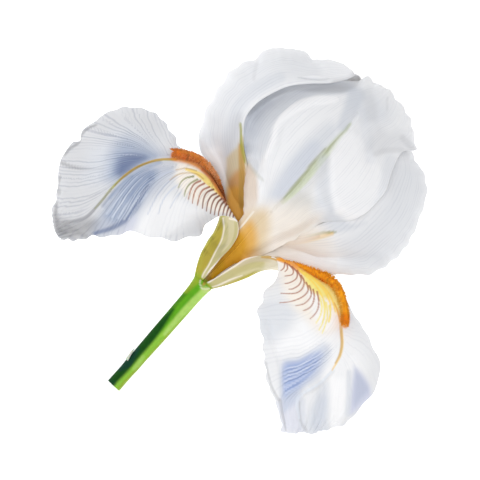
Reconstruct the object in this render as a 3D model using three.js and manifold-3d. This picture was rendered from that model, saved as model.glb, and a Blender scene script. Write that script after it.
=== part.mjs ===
// A cut bearded iris flower: one open bloom on a short stem, lying on a table.
//
// Everything is first built in the flower's own frame, in millimetres: x runs up the flower from
// the throat, where the petals leave the tube, to the crown; y runs to the flower's left and z to
// its upper side, which is the side that shows. A bearing round the flower's axis is in degrees
// from z towards y. At the end the flower is leaned so that its cut end and the fall under it
// touch the table.
import * as THREE from "three";
import { mergeVertices } from "three/addons/utils/BufferGeometryUtils.js";
import Module from "manifold-3d";

const wasm = await Module();
wasm.setup();

// Driving dimensions.
const lean = 22; // degrees from the table up to the flower's axis
const stemLength = 54; // cut end to throat
const cutRadius = 2.8;
const throatRadius = 4.5;
const throatY = 1.2; // the stem bends a little to the left below the throat
const seatGap = 0.35; // clear of the tube's rim, and of the petal that a beard grows on
const petalThickness = 0.8;
const midribThickness = 0.7; // extra, along the middle of a petal
const clawThickness = 0.35; // extra, at the throat
const domeFlattening = 0.09; // how much the standards sag where the flower's weight is on them
const centringLength = 40; // the axis of the standards meets the middle line this far from the throat

const white = 0xf2f2f5;
const stemGreen = 0x5f9a25;
const beardOrange = 0xd9760f;
const styleCream = 0xeadfc4;
const antherCream = 0xe8dcae;
const paperyGrey = 0xcfcfc6;

const degrees = Math.PI / 180;

// Height of the table under the flower, in the flower's frame.
const tableAt = (x) => -cutRadius - Math.tan(lean * degrees) * (x + stemLength);

// Rows of numbers, read smoothly at t from 0 to 1.
function readRows(rows, t) {
  const place = Math.min(Math.max(t, 0), 1) * (rows.length - 1);
  const first = Math.min(Math.floor(place), rows.length - 2);
  const f = place - first;
  const row = (k) => rows[Math.min(Math.max(k, 0), rows.length - 1)];
  const [a, b, c, d] = [row(first - 1), row(first), row(first + 1), row(first + 2)];
  const cubic = (p, q, r, s) =>
    q + 0.5 * f * (r - p + f * (2 * p - 5 * q + 4 * r - s + f * (3 * q - p - 3 * r + s)));
  return b.map((_, k) => cubic(a[k], b[k], c[k], d[k]));
}

// A seeded random draw, the same each time.
function drawFrom(seed) {
  let state = seed;
  return () => {
    state = (state * 1664525 + 1013904223) % 4294967296;
    return state / 4294967296;
  };
}

// The unit normal of a surface that u and v run along.
function normalOf(pointAt, u, v) {
  const step = 0.004;
  const across = (from, to) => pointAt(...to).sub(pointAt(...from));
  const alongU = across([Math.max(u - step, 0), v], [Math.min(u + step, 1), v]);
  const alongV = across([u, Math.max(v - step, -1)], [u, Math.min(v + step, 1)]);
  return alongU.cross(alongV).normalize();
}

// A surface with waves added along its normal.
function waved(pointAt, heightAt) {
  return (u, v) =>
    pointAt(u, v).addScaledVector(normalOf(pointAt, u, v), heightAt(u, v));
}

// Margin waves: nothing at the middle and the claw, full at both sides, less at the far end.
function marginWave({ height, waves, phase, start = 0.35 }) {
  return (u, v) => {
    const grown = Math.min(Math.max((u - start) / 0.2, 0), 1) * (1 - 0.6 * u ** 6);
    const turn = 2 * Math.PI * waves * u + phase + (v < 0 ? 1.9 : 0);
    return height * grown * Math.abs(v) ** 3 * Math.sin(turn);
  };
}

function geometryOf(points, faces) {
  const geometry = new THREE.BufferGeometry();
  const numbers = points.flatMap((p) => [p.x, p.y, p.z]);
  geometry.setAttribute("position", new THREE.Float32BufferAttribute(numbers, 3));
  geometry.setIndex(faces.flat());
  return geometry;
}

// A thin blade with its middle surface at pointAt, closed all round. thicknessAt gives how far it
// reaches on each side of that surface. Both faces are split into the same triangles.
function blade({ pointAt, rows, columns, thicknessAt }) {
  const upper = [];
  const lower = [];
  for (const u of rows)
    for (const v of columns) {
      const normal = normalOf(pointAt, u, v);
      const [above, below] = thicknessAt(u, v);
      upper.push(pointAt(u, v).addScaledVector(normal, above));
      lower.push(pointAt(u, v).addScaledVector(normal, -below));
    }
  const width = columns.length;
  const count = upper.length;
  const faces = [];
  for (let i = 0; i + 1 < rows.length; i++)
    for (let j = 0; j + 1 < width; j++) {
      const a = i * width + j;
      const [b, c, d] = [a + width, a + width + 1, a + 1];
      faces.push([a, b, c], [a, c, d]);
      faces.push([a + count, c + count, b + count], [a + count, d + count, c + count]);
    }
  const rim = [];
  for (let i = 0; i < rows.length; i++) rim.push(i * width);
  for (let j = 1; j < width; j++) rim.push((rows.length - 1) * width + j);
  for (let i = rows.length - 2; i >= 0; i--) rim.push(i * width + width - 1);
  for (let j = width - 2; j > 0; j--) rim.push(j);
  rim.forEach((p, k) => {
    const q = rim[(k + 1) % rim.length];
    faces.push([q, p, p + count], [q, p + count, q + count]);
  });
  return geometryOf([...upper, ...lower], faces);
}

const evenly = (count, from = 0, to = 1) =>
  Array.from({ length: count }, (_, k) => from + ((to - from) * k) / (count - 1));

// Closer together at the middle, where the midrib stands out.
const petalColumns = [-1, -0.84, -0.64, -0.42, -0.2, -0.06, 0.06, 0.2, 0.42, 0.64, 0.84, 1];

// A petal is thickest at its claw and along its midrib, which stands out of its outer face.
function petalThicknessAt(ribSide) {
  return (u, v) => {
    const claw = clawThickness * Math.max(1 - u / 0.3, 0);
    const rib = midribThickness * Math.exp(-((v / 0.13) ** 2)) * (1 - 0.75 * u);
    const half = petalThickness / 2 + claw / 2;
    return ribSide > 0 ? [half + rib, half] : [half, half + rib];
  };
}

// ---- booleans

function solidOf(geometry) {
  const bare = geometry.clone();
  bare.deleteAttribute("normal");
  bare.deleteAttribute("uv");
  const merged = mergeVertices(bare, 1e-4);
  const vertProperties = merged.attributes.position.array;
  const triVerts = new Uint32Array(merged.index.array);
  return new wasm.Manifold(new wasm.Mesh({ numProp: 3, vertProperties, triVerts }));
}

function geometryOfSolid(solid) {
  const { vertProperties, triVerts } = solid.getMesh();
  const geometry = new THREE.BufferGeometry();
  geometry.setAttribute("position", new THREE.BufferAttribute(vertProperties, 3));
  geometry.setIndex(new THREE.BufferAttribute(triVerts, 1));
  return geometry;
}

const joined = (geometries) =>
  geometryOfSolid(geometries.map(solidOf).reduce((all, one) => all.add(one)));

// Turned inside out where its faces point inwards.
function facingOut(geometry) {
  if (solidOf(geometry).volume() > 0) return geometry;
  const index = geometry.index.array;
  for (let k = 0; k < index.length; k += 3)
    [index[k + 1], index[k + 2]] = [index[k + 2], index[k + 1]];
  return geometry;
}

// ---- falls: the three outer petals. Each row of a table is one rib across the petal, from its
// near edge over its middle to its far edge. The near edge is the one on the upper side.

const leftFallRibs = [
  [0.4, 1.9, 3.6, 0.4, 4.6, 2.0, 0.4, 4.4, -1.9],
  [6, 2.2, 5.4, 6, 7.4, 3.4, 6, 7.0, -2.4],
  [12.5, 2.7, 7.6, 12.5, 9.6, 5.4, 12.5, 9.6, -2.8],
  [18.5, 2.7, 9.6, 18.5, 10.9, 7.4, 18.5, 10.8, -2.6],
  [24.3, 4.4, 12.2, 24.8, 13.2, 10, 24, 14, -2.2],
  [27.4, 8.6, 15.8, 29, 17.6, 13.2, 24.6, 18.6, -1.4],
  [24.4, 14.4, 20, 32.2, 24, 17.2, 24.4, 22.6, -0.4],
  [16.5, 16.4, 25, 34, 31.5, 21.5, 24, 28.4, 1],
  [7, 20, 29, 33.4, 38.2, 26, 24.6, 36, 2.6],
  [2.6, 24.4, 30.4, 30.6, 42.2, 28.2, 28.2, 43.6, 4.4],
  [-1, 30.4, 30.8, 25.4, 46.4, 30, 36.2, 53.6, 7.4],
  [-4.4, 36.4, 30.2, 18.4, 50.2, 31, 34.8, 65, 9.4],
  [-9.4, 40.2, 29, 8, 52.6, 30.6, 24, 75, 10],
  [-14.6, 44.6, 27.4, -2.6, 53.4, 29, 9, 77.4, 10.2],
  [-20, 49, 25.4, -13.4, 54.8, 26.6, -4.8, 75.2, 12],
  [-24.8, 52.8, 23.6, -25, 58.4, 24, -19, 65.4, 16],
];

const rightFallRibs = [
  [0.4, 0.5, 3.6, 0.4, -2.2, 2.0, 0.4, -2.0, -1.9],
  [6, -1.4, 5.2, 6, -5.8, 3.4, 6, -5.4, -2.4],
  [13, -3.0, 7.6, 13, -9.2, 5.4, 13, -9.0, -2.8],
  [19.5, -5.0, 10, 19.5, -11.8, 7.8, 19.5, -11.6, -2.6],
  [25.4, -10, 12.8, 25.8, -16.2, 10.6, 24, -17, -2.2],
  [26.4, -14.4, 16, 29.6, -21.4, 14, 24.8, -21.6, -1.6],
  [22.4, -18.8, 20.4, 33, -28.2, 18, 25.4, -26.4, -0.6],
  [14.6, -20.8, 25.4, 34.6, -35.4, 22.2, 25, -32, 1],
  [7.2, -22.4, 29, 33, -43, 26.2, 25, -40.6, 3],
  [3.6, -27.6, 30.4, 30, -47.6, 28.2, 27, -47.6, 5],
  [-0.6, -33.4, 30.8, 24.8, -52, 30, 29.8, -55.4, 7.4],
  [-5.4, -39.2, 30, 17.6, -56.8, 31, 29.6, -63.8, 9],
  [-11, -45.4, 28.8, 9, -61.2, 30, 24.4, -71.4, 10],
  [-14.8, -51.8, 27.2, -0.4, -65.4, 28, 16, -78.2, 10.6],
  [-18, -58.6, 25.4, -8.6, -69.6, 26, 6.4, -79.2, 12.6],
  [-20.6, -62.8, 24, -15, -71.4, 24.4, -4, -76.8, 16.6],
];

// The fall under the flower is folded forward by its weight. Its far half lies on the table.
const lying = (x, y, height) => [x, y, tableAt(x) + height];
const underFallRibs = [
  [0.4, 3.6, -2.8, 0.4, 1.2, -4.1, 0.4, -1.2, -2.8],
  [6, 4.8, -4.6, 6, 1.2, -6.6, 6, -2.4, -4.6],
  [12, 5.8, -8.4, 12, 1.2, -11, 12, -3.4, -8.4],
  [18, 7.2, -14.6, 18, 1.2, -18, 18, -4.8, -14.6],
  [25, 10, -22.6, 24, 1.2, -26.4, 25, -7.6, -22.6],
  [33.5, 15, -31.6, 31, 1, -34.4, 33.5, -13, -31.6],
  [42.5, 22, -38.8, 40, 0.8, -40.4, 42.5, -20.6, -38.8],
  [...lying(52.5, 26.6, 2.4), ...lying(51, 0.5, 0.3), ...lying(52.5, -25.6, 2.4)],
  [...lying(63, 27.8, 2.2), ...lying(63, 0, 0.25), ...lying(63, -27.8, 2.2)],
  [...lying(74, 25, 2.3), ...lying(75, 0, 0.3), ...lying(74, -25, 2.3)],
  [...lying(83, 18.4, 3.0), ...lying(86, 0, 1.8), ...lying(83, -18.4, 3.0)],
  [...lying(89, 9, 4.0), ...lying(94, 0, 4.0), ...lying(89, -9, 4.0)],
];

// v runs from the near edge, -1, over the middle, 0, to the far edge, 1.
function ribSurface(ribs) {
  return (u, v) => {
    const r = readRows(ribs, u);
    const near = (v * (v - 1)) / 2;
    const middle = 1 - v * v;
    const far = (v * (v + 1)) / 2;
    const mix = (k) => near * r[k] + middle * r[k + 3] + far * r[k + 6];
    return new THREE.Vector3(mix(0), mix(1), mix(2));
  };
}

const falls = {
  left: {
    pointAt: waved(ribSurface(leftFallRibs), marginWave({ height: 1.3, waves: 6.5, phase: 0.4 })),
    outside: 1,
  },
  right: {
    pointAt: waved(ribSurface(rightFallRibs), marginWave({ height: 1.3, waves: 6, phase: 2.1 })),
    outside: -1,
  },
  under: {
    pointAt: waved(
      ribSurface(underFallRibs),
      marginWave({ height: 0.9, waves: 7, phase: 1.2, start: 0.4 }),
    ),
    outside: 1,
  },
};

const fallRows = [...evenly(7, 0, 0.3), ...evenly(17, 0.345, 1)];

function fallGeometry({ pointAt, outside }) {
  const thicknessAt = petalThicknessAt(outside);
  return blade({ pointAt, rows: fallRows, columns: petalColumns, thicknessAt });
}

// ---- standards: the three inner petals, closed over each other in a dome. Each row of a table is
// one rib round the flower: how far up it is, its radius, the bearing of its middle, the spans to
// its first and second edge, and how far each edge is up and out from the middle. The first edge
// is at the smaller bearing.

const frontStandardRibs = [
  [0.4, 2.0, 0, 38, 38, 0, 0, 0, 0],
  [8, 3.0, 2, 46, 42, 0, 0, 0, 0],
  [14, 4.8, 2, 46, 42, 0, 0, 0, 0],
  [20, 7.9, 2, 38, 38, 0, 0, 0, 0],
  [26, 13, 3, 30, 28, 0, 0, 0, 0],
  [31, 18.6, 3, 28, 21, 0.5, 0, 0, 0],
  [37, 25.6, 2, 30, 20, 0.5, 1, 0, -1],
  [43, 32, 2, 31, 26, 0.5, 2, 0, -2],
  [50, 37.2, 2, 30, 42, 1, 2, 0, -2],
  [58, 40.4, 2, 40, 54, 1, 0, 0, -2],
  [67, 41.6, 2, 44, 57, 1, -1, 0, -2],
  [76, 40.8, 2, 43, 57, 0, -1, 0, -2],
  [85, 37.4, 2, 40, 56, 0, -1, -0.5, -2],
  [93, 31.6, 1, 46, 54, 0, -2, -1, -2],
  [100, 24, -2, 62, 48, -3.5, -3, 2, -1],
  [106.5, 12.5, -4, 74, 46, -6, -4, 8, 0],
];

const leftStandardRibs = [
  [0.4, 2.0, 120, 38, 38, 0, 0, 0, 0],
  [8, 3.0, 118, 42, 42, 0, 0, 0, 0],
  [14, 4.6, 110, 40, 42, 0, 0, 0, 0],
  [20, 6.8, 98, 40, 42, 0, 0, 0, 0],
  [26, 10.8, 82, 46, 46, 0.5, 0, 0, 0],
  [31, 17, 84, 51, 56, 1, 1, 0, 0],
  [35.5, 26, 90, 57, 66, 3, 3, 0, -1],
  [39.5, 36.5, 96, 58, 76, 6.5, 4, -3, -1],
  [45, 43, 101, 58, 82, 7.5, 4, -2, 0],
  [53, 46.6, 104, 57, 85, 6, 3, -1, 0],
  [63, 48.4, 105, 58, 86, 4, 2, -2, 0],
  [73, 48.8, 105, 59, 86, 2, 1, -3, 0],
  [82, 46, 104, 60, 84, 0.5, 0, -2, 0],
  [90, 41, 102, 62, 80, -1, 0, -1.5, 0],
  [96.4, 32.2, 98, 64, 74, -1.5, 0, -1, 0],
  [102.6, 19.5, 90, 60, 66, -1, 0, 6.5, 0],
];

const rightStandardRibs = [
  [0.4, 2.0, -120, 38, 38, 0, 0, 0, 0],
  [8, 3.0, -118, 42, 42, 0, 0, 0, 0],
  [14, 4.6, -110, 42, 40, 0, 0, 0, 0],
  [20, 6.8, -100, 42, 44, 0, 0, 0, 0],
  [26, 10.8, -84, 46, 50, 0, 0.5, 0, 0],
  [31, 16.8, -84, 56, 52, 1, 1, 0, 0],
  [35.5, 25, -88, 66, 58, 3, 3, -1, -2],
  [39.5, 34.5, -93, 74, 62, 4, 6, -3, -5],
  [45, 41.4, -98, 74, 66, 4, 6, -5, -8],
  [53, 45.4, -101, 74, 69, 3, 4, -6, -10],
  [63, 46.8, -102, 73, 71, 2, 2, -6, -11],
  [73, 46.2, -102, 73, 71, 1, 0, -6, -11],
  [81, 43.8, -101, 72, 70, 0, -1, -6, -10],
  [89, 37.8, -100, 70, 68, 0, -2, -5, -8],
  [93.5, 29.5, -98, 66, 66, 0, -3, -4, -6],
  [97, 19, -95, 58, 60, 0, -3, -3, -4],
];

// v runs from the first edge, -1, to the second, 1.
function domeSurface(ribs) {
  return (u, v) => {
    const r = readRows(ribs, u);
    const [x, radius, bearing, firstSpan, secondSpan, firstUp, secondUp, firstOut, secondOut] = r;
    const angle = (bearing + v * (v < 0 ? firstSpan : secondSpan)) * degrees;
    const up = x + v * v * (v < 0 ? firstUp : secondUp);
    const sag = 1 - domeFlattening * Math.max(-Math.cos(angle), 0) ** 2;
    const out = (radius + v * v * (v < 0 ? firstOut : secondOut)) * sag;
    const axisY = throatY * Math.max(1 - up / centringLength, 0);
    return new THREE.Vector3(up, axisY + out * Math.sin(angle), out * Math.cos(angle));
  };
}

const standardTables = {
  front: [frontStandardRibs, { height: 0.8, waves: 5, phase: 0.6, start: 0.5 }],
  left: [leftStandardRibs, { height: 0.9, waves: 5.5, phase: 2.2, start: 0.5 }],
  right: [rightStandardRibs, { height: 0.9, waves: 5, phase: 4.0, start: 0.5 }],
};

const standardRows = [...evenly(6, 0, 0.28), ...evenly(17, 0.33, 1)];

function standardGeometry([ribs, wave]) {
  return blade({
    pointAt: waved(domeSurface(ribs), marginWave(wave)),
    rows: standardRows,
    columns: petalColumns,
    thicknessAt: petalThicknessAt(1),
  });
}

// ---- beards: a brush of stiff bristles along the middle of each fall, on its inner face

const beardHeight = 1.35; // half the height of the brush's core
const bristleLength = 1.5;
const bristleRadius = 0.5;

function bristle(root, direction, length) {
  const cone = new THREE.ConeGeometry(bristleRadius, length, 3, 1);
  const up = new THREE.Vector3(0, 1, 0);
  cone.applyQuaternion(new THREE.Quaternion().setFromUnitVectors(up, direction));
  const middle = root.clone().addScaledVector(direction, length / 2);
  return cone.translate(middle.x, middle.y, middle.z);
}

// from and to are places along the fall. The brush swells from its start and ends bluntly.
function beardGeometry({ pointAt, outside }, { from, to, crowding, seed }) {
  const draw = drawFrom(seed);
  const sides = 8;
  const steps = 16;
  const inward = (u) => normalOf(pointAt, u, 0).multiplyScalar(-outside);
  const size = (t) => beardHeight * (0.45 + 0.55 * Math.min(t / 0.4, 1)) * crowding;
  const middleAt = (t) => {
    const u = from + (to - from) * t;
    const lift = petalThickness / 2 + seatGap + size(t);
    return pointAt(u, 0).addScaledVector(inward(u), lift);
  };
  const frameAt = (t) => {
    const u = from + (to - from) * t;
    const along = middleAt(Math.min(t + 0.02, 1)).sub(middleAt(Math.max(t - 0.02, 0))).normalize();
    const out = inward(u);
    const side = new THREE.Vector3().crossVectors(along, out).normalize();
    return { along, out, side };
  };
  const points = [];
  for (const t of evenly(steps)) {
    const { out, side } = frameAt(t);
    for (let k = 0; k < sides; k++) {
      const a = (2 * Math.PI * (k + 0.5)) / sides;
      const ring = middleAt(t)
        .addScaledVector(out, size(t) * Math.cos(a))
        .addScaledVector(side, 1.1 * size(t) * Math.sin(a));
      points.push(ring);
    }
  }
  const faces = [];
  for (let i = 0; i + 1 < steps; i++)
    for (let k = 0; k < sides; k++) {
      const [a, b] = [i * sides + k, i * sides + ((k + 1) % sides)];
      faces.push([a, b, b + sides], [a, b + sides, a + sides]);
    }
  for (const [end, at] of [[0, 0], [1, steps - 1]]) {
    points.push(middleAt(end));
    for (let k = 0; k < sides; k++) {
      const [a, b] = [at * sides + k, at * sides + ((k + 1) % sides)];
      faces.push(end ? [a, b, points.length - 1] : [b, a, points.length - 1]);
    }
  }
  const pieces = [facingOut(geometryOf(points, faces))];
  const rowsAlong = 20;
  const fan = [-70, -35, 0, 35, 70];
  for (let i = 0; i < rowsAlong; i++)
    for (const [k, tilt] of fan.entries()) {
      if ((i + k) % 2) continue;
      const t = (i + 0.6) / rowsAlong;
      const { along, out, side } = frameAt(t);
      const angle = (tilt + 14 * (draw() - 0.5)) * degrees;
      const direction = out
        .clone()
        .multiplyScalar(Math.cos(angle))
        .addScaledVector(side, Math.sin(angle))
        .addScaledVector(along, 0.35 + 0.3 * draw())
        .normalize();
      const root = middleAt(t).addScaledVector(direction, 0.25 * size(t));
      const length = size(t) * 0.75 + bristleLength * crowding * (0.6 + 0.4 * draw());
      pieces.push(bristle(root, direction, length));
    }
  return joined(pieces);
}

const beards = {
  left: { from: 0.325, to: 0.65, crowding: 1, seed: 11 },
  right: { from: 0.32, to: 0.66, crowding: 1, seed: 23 },
  under: { from: 0.22, to: 0.47, crowding: 0.75, seed: 37 },
};

// ---- pistil: a column that splits into three style arms, each arched over a stamen and ending
// in two upturned crests, with a small stigma flap under them

const armLength = 49;
const armThickness = 0.7;
const stigmaAt = 0.8;
const armRibs = [
  [1.5, 0.4, 0.4, 0.1],
  [8, 0.9, 0.9, 0.2],
  [14, 1.9, 1.5, 0.5],
  [20, 3.4, 2.2, 0.8],
  [27, 6.2, 3.2, 1.1],
  [34, 11, 4.5, 1.4],
  [41, 16.5, 5.2, 1.2],
  [armLength, 21, 5, 0.2],
];
const armBearings = { left: 48, right: -48, under: 180 };

// A point from how far up it is, how far out at a bearing, and how far round to the side.
function atBearing(up, out, round, bearing) {
  const a = bearing * degrees;
  const y = throatY * Math.max(1 - up / centringLength, 0);
  return new THREE.Vector3(
    up,
    y + out * Math.sin(a) + round * Math.cos(a),
    out * Math.cos(a) - round * Math.sin(a),
  );
}

function armSurface(bearing) {
  return (u, v) => {
    const [x, out, halfWidth, arch] = readRows(armRibs, u);
    const crest = Math.max((u - 0.82) / 0.18, 0);
    const peak = crest * (3.2 * Math.sin(Math.PI * Math.min(Math.abs(v) * 1.15, 1)) - 2.4 * (1 - Math.abs(v)));
    return atBearing(x + peak, out + arch * v * v - 1.2 * crest * crest, halfWidth * v, bearing);
  };
}

function armGeometry(bearing) {
  return blade({
    pointAt: armSurface(bearing),
    rows: evenly(11),
    columns: evenly(9, -1, 1),
    thicknessAt: () => [armThickness / 2, armThickness / 2],
  });
}

function stigmaGeometry(bearing) {
  const arm = armSurface(bearing);
  const pointAt = (u, v) => {
    const root = arm(stigmaAt + 0.02, v * 0.62);
    const out = atBearing(0, 1, 0, bearing).sub(atBearing(0, 0, 0, bearing));
    return root.addScaledVector(out, -0.2 + 2.2 * u).add(new THREE.Vector3(1.3 * u * u, 0, 0));
  };
  return blade({
    pointAt,
    rows: evenly(3),
    columns: evenly(5, -1, 1),
    thicknessAt: () => [0.3, 0.3],
  });
}

function pistilGeometry() {
  const columnLength = 9;
  const column = new THREE.CylinderGeometry(0.9, 1.05, columnLength, 10);
  column.rotateZ(-Math.PI / 2).translate(seatGap + columnLength / 2, throatY, 0);
  const blades = Object.values(armBearings).flatMap((bearing) => [
    facingOut(armGeometry(bearing)),
    facingOut(stigmaGeometry(bearing)),
  ]);
  return joined([column, ...blades]);
}

// ---- stamens: one under each style arm

const filamentRadius = 0.4;
const stamenRibs = [
  [0.5, 2.4, 60],
  [8, 3.1, 60],
  [14, 4.2, 57],
  [20, 5.9, 48],
  [25, 8.3, 46],
];
const stamenBearings = {
  left: (a) => a,
  right: (a) => -a,
  under: () => 180,
};
const antherLength = 9;

function stamenGeometry(bearingAt) {
  const line = stamenRibs.map(([x, out, a]) => atBearing(x, out, 0, bearingAt(a)));
  const section = new THREE.Shape().absarc(0, 0, filamentRadius, 0, 2 * Math.PI);
  const extrudePath = new THREE.CatmullRomCurve3(line);
  const filament = new THREE.ExtrudeGeometry(section, { steps: 12, curveSegments: 3, extrudePath });
  const anther = new THREE.CapsuleGeometry(0.75, antherLength - 1.5, 2, 8);
  anther.scale(1, 1, 0.75);
  const [before, last] = line.slice(-2);
  const along = last.clone().sub(before).normalize();
  anther.applyQuaternion(
    new THREE.Quaternion().setFromUnitVectors(new THREE.Vector3(0, 1, 0), along),
  );
  const middle = last.clone().addScaledVector(along, antherLength * 0.3);
  anther.translate(middle.x, middle.y, middle.z);
  return joined([filament, anther]);
}

// ---- stem: cut end, node, seed pod and the tube that the petals leave

const stemProfile = [
  [-stemLength, 0],
  [-stemLength, cutRadius - 0.25],
  [-stemLength + 0.3, cutRadius],
  [-46, 2.75],
  [-44, 3.0],
  [-42, 2.95],
  [-39, 2.8],
  [-28, 3.05],
  [-18, 3.4],
  [-9, 3.65],
  [-4, 3.8],
  [-1.2, 4.1],
  [0, throatRadius],
  [0, 0],
];

// Where the middle of the stem is, to the left of the flower's axis.
const stemY = (x) => throatY - 1.6 * Math.max(-x / stemLength, 0) ** 1.2;

function stemGeometry() {
  const outline = stemProfile.map(([x, r]) => new THREE.Vector2(r, x));
  const stem = new THREE.LatheGeometry(outline, 20).rotateZ(-Math.PI / 2);
  const at = stem.attributes.position;
  for (let k = 0; k < at.count; k++) at.setY(k, at.getY(k) + stemY(at.getX(k)));
  return geometryOfSolid(solidOf(stem));
}

// A dry scrap of the papery sheath that wrapped the bud, still on the node.
function sheathGeometry() {
  const [from, length, bearing, halfWidth] = [-43.6, 5.2, 62, 34];
  const pointAt = (u, v) => {
    const x = from + length * u * (1 - 0.25 * v * v);
    const out = 3.0 + seatGap + 0.35 + 0.9 * u * u;
    const a = (bearing + halfWidth * v * (1 - 0.55 * u)) * degrees;
    return new THREE.Vector3(x, stemY(x) + out * Math.sin(a), out * Math.cos(a));
  };
  return blade({
    pointAt,
    rows: evenly(5),
    columns: evenly(6, -1, 1),
    thicknessAt: () => [0.3, 0.3],
  });
}

// ---- the flower

const flower = new THREE.Group();

function add(name, geometry, color, roughness = 0.55) {
  const material = new THREE.MeshStandardMaterial({ color, roughness, metalness: 0 });
  const mesh = new THREE.Mesh(facingOut(geometry), material);
  mesh.name = name;
  flower.add(mesh);
  return mesh;
}

// The fall under the flower is pressed flat where it bears on the table.
function pressedOnTable(geometry) {
  const depth = 20;
  const table = new THREE.BoxGeometry(400, 400, depth).translate(0, 0, -depth / 2);
  table.rotateY(lean * degrees).translate(-stemLength, 0, -cutRadius);
  return geometryOfSolid(solidOf(facingOut(geometry)).subtract(solidOf(table)));
}

add("stem", stemGeometry(), stemGreen, 0.45);
add("sheath_scrap", sheathGeometry(), paperyGrey, 0.8);
for (const side of ["left", "right", "under"]) {
  const fall = fallGeometry(falls[side]);
  add("fall_" + side, side === "under" ? pressedOnTable(fall) : fall, white);
  add("beard_" + side, beardGeometry(falls[side], beards[side]), beardOrange, 0.7);
  add("stamen_" + side, stamenGeometry(stamenBearings[side]), antherCream, 0.7);
}
for (const side of ["front", "left", "right"])
  add("standard_" + side, standardGeometry(standardTables[side]), white);
add("pistil", pistilGeometry(), styleCream);

// Leaned to lie on the table, with the middle of its footprint at the origin.
flower.rotation.y = -lean * degrees;
flower.updateMatrixWorld(true);
const reach = new THREE.Box3().setFromObject(flower, true);
const centre = reach.getCenter(new THREE.Vector3());
flower.position.set(-centre.x, -centre.y, -reach.min.z);
flower.updateMatrixWorld(true);

export default flower;
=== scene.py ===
import math

import bpy
import numpy as np
from mathutils import Matrix, Vector


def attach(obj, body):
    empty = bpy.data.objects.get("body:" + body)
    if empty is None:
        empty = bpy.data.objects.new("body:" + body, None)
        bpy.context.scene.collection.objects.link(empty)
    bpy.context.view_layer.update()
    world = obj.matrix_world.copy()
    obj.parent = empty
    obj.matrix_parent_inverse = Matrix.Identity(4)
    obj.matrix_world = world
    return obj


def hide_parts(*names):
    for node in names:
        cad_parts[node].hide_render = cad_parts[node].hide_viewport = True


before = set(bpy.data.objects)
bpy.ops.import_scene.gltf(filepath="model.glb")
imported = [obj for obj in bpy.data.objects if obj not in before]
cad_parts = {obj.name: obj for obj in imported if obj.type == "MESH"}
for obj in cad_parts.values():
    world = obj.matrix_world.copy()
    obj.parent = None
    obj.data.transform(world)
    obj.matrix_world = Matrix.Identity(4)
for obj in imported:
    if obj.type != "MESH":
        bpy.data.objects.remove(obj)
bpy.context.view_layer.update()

print("frame loaded")

# The flower's own frame, in millimetres: x up its axis from the throat, y to its left, z to
# its upper side. Bearings round the axis are in degrees from z towards y.
flower = {
    "lean": 22,  # degrees from the table up to the axis
    "throatAt": (-29.10222, 0.43052, 22.82488),  # in the scene
    "stemLength": 54,
    "cutRadius": 2.8,
    "throatY": 1.2,
    "centringLength": 40,  # the standards' axis meets the middle line this far up
    "sag": 0.09,  # how much the standards flatten underneath
}

# The reference picture, taken from the flower's upper side.
picture = {
    "pixels": 480,
    "turn": 47,  # degrees from the flower's axis to the picture's bottom edge
    "scale": 0.4,  # millimetres to a pixel
    "throat": (205, 285),  # pixels from the left and from the top
    "away": 5000,  # from the camera to the flower
    "sensor": 36,
    "clipEnd": 40,  # in metres
    "level": 12,  # height of the plane that the scale is right for
}


def toScene(points):
    lean = math.radians(flower["lean"])
    x, y, z = np.moveaxis(np.asarray(points, float), -1, 0)
    turned = (x * math.cos(lean) - z * math.sin(lean), y, x * math.sin(lean) + z * math.cos(lean))
    return (np.stack(turned, -1) + np.array(flower["throatAt"])) / 1000


def tableAt(x):
    return -flower["cutRadius"] - math.tan(math.radians(flower["lean"])) * (x + flower["stemLength"])


def pictureAxes():
    turn = math.radians(picture["turn"])
    return np.array(((math.cos(turn), -math.sin(turn), 0), (math.sin(turn), math.cos(turn), 0), (0, 0, 1)))


def pictureMiddle():
    half, (px, py) = picture["pixels"] / 2, picture["throat"]
    return np.array((half - px, py - half, picture["level"] / picture["scale"])) * picture["scale"]


def inPicture(points):  # the pixels that the flower's points show at
    seen = points @ pictureAxes().T - pictureMiddle()
    nearer = picture["away"] / (picture["away"] - seen[:, 2]) / picture["scale"]
    half = picture["pixels"] / 2
    return np.stack((half + seen[:, 0] * nearer, half - seen[:, 1] * nearer), -1)


# Surfaces, each a function of u, along it from 0 to 1, and v, across it from -1 to 1.


def readRows(rows, t):
    rows = np.asarray(rows, float)
    place = np.clip(t, 0, 1) * (len(rows) - 1)
    first = np.minimum(place.astype(int), len(rows) - 2)
    f = (place - first)[:, None]
    p, q, r, s = (rows[np.clip(first + k, 0, len(rows) - 1)] for k in (-1, 0, 1, 2))
    return q + 0.5 * f * (r - p + f * (2 * p - 5 * q + 4 * r - s + f * (3 * q - p - 3 * r + s)))


def unit(vectors):
    return vectors / np.linalg.norm(vectors, axis=1)[:, None]


def normalOf(pointAt, u, v):
    step = 0.004
    alongU = pointAt(np.minimum(u + step, 1), v) - pointAt(np.maximum(u - step, 0), v)
    alongV = pointAt(u, np.minimum(v + step, 1)) - pointAt(u, np.maximum(v - step, -1))
    return unit(np.cross(alongU, alongV))


def waved(pointAt, heightAt):
    return lambda u, v: pointAt(u, v) + normalOf(pointAt, u, v) * heightAt(u, v)[:, None]


marginLook = {"growth": 0.2, "tipLoss": 0.6, "outOfStep": 1.9}  # one margin's waves against the other's


def marginWave(height, waves, phase, start=0.35):
    def heightAt(u, v):
        grown = np.clip((u - start) / marginLook["growth"], 0, 1) * (1 - marginLook["tipLoss"] * u ** 6)
        turn = 2 * math.pi * waves * u + phase + np.where(v < 0, marginLook["outOfStep"], 0)
        return height * grown * np.abs(v) ** 3 * np.sin(turn)

    return heightAt


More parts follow.
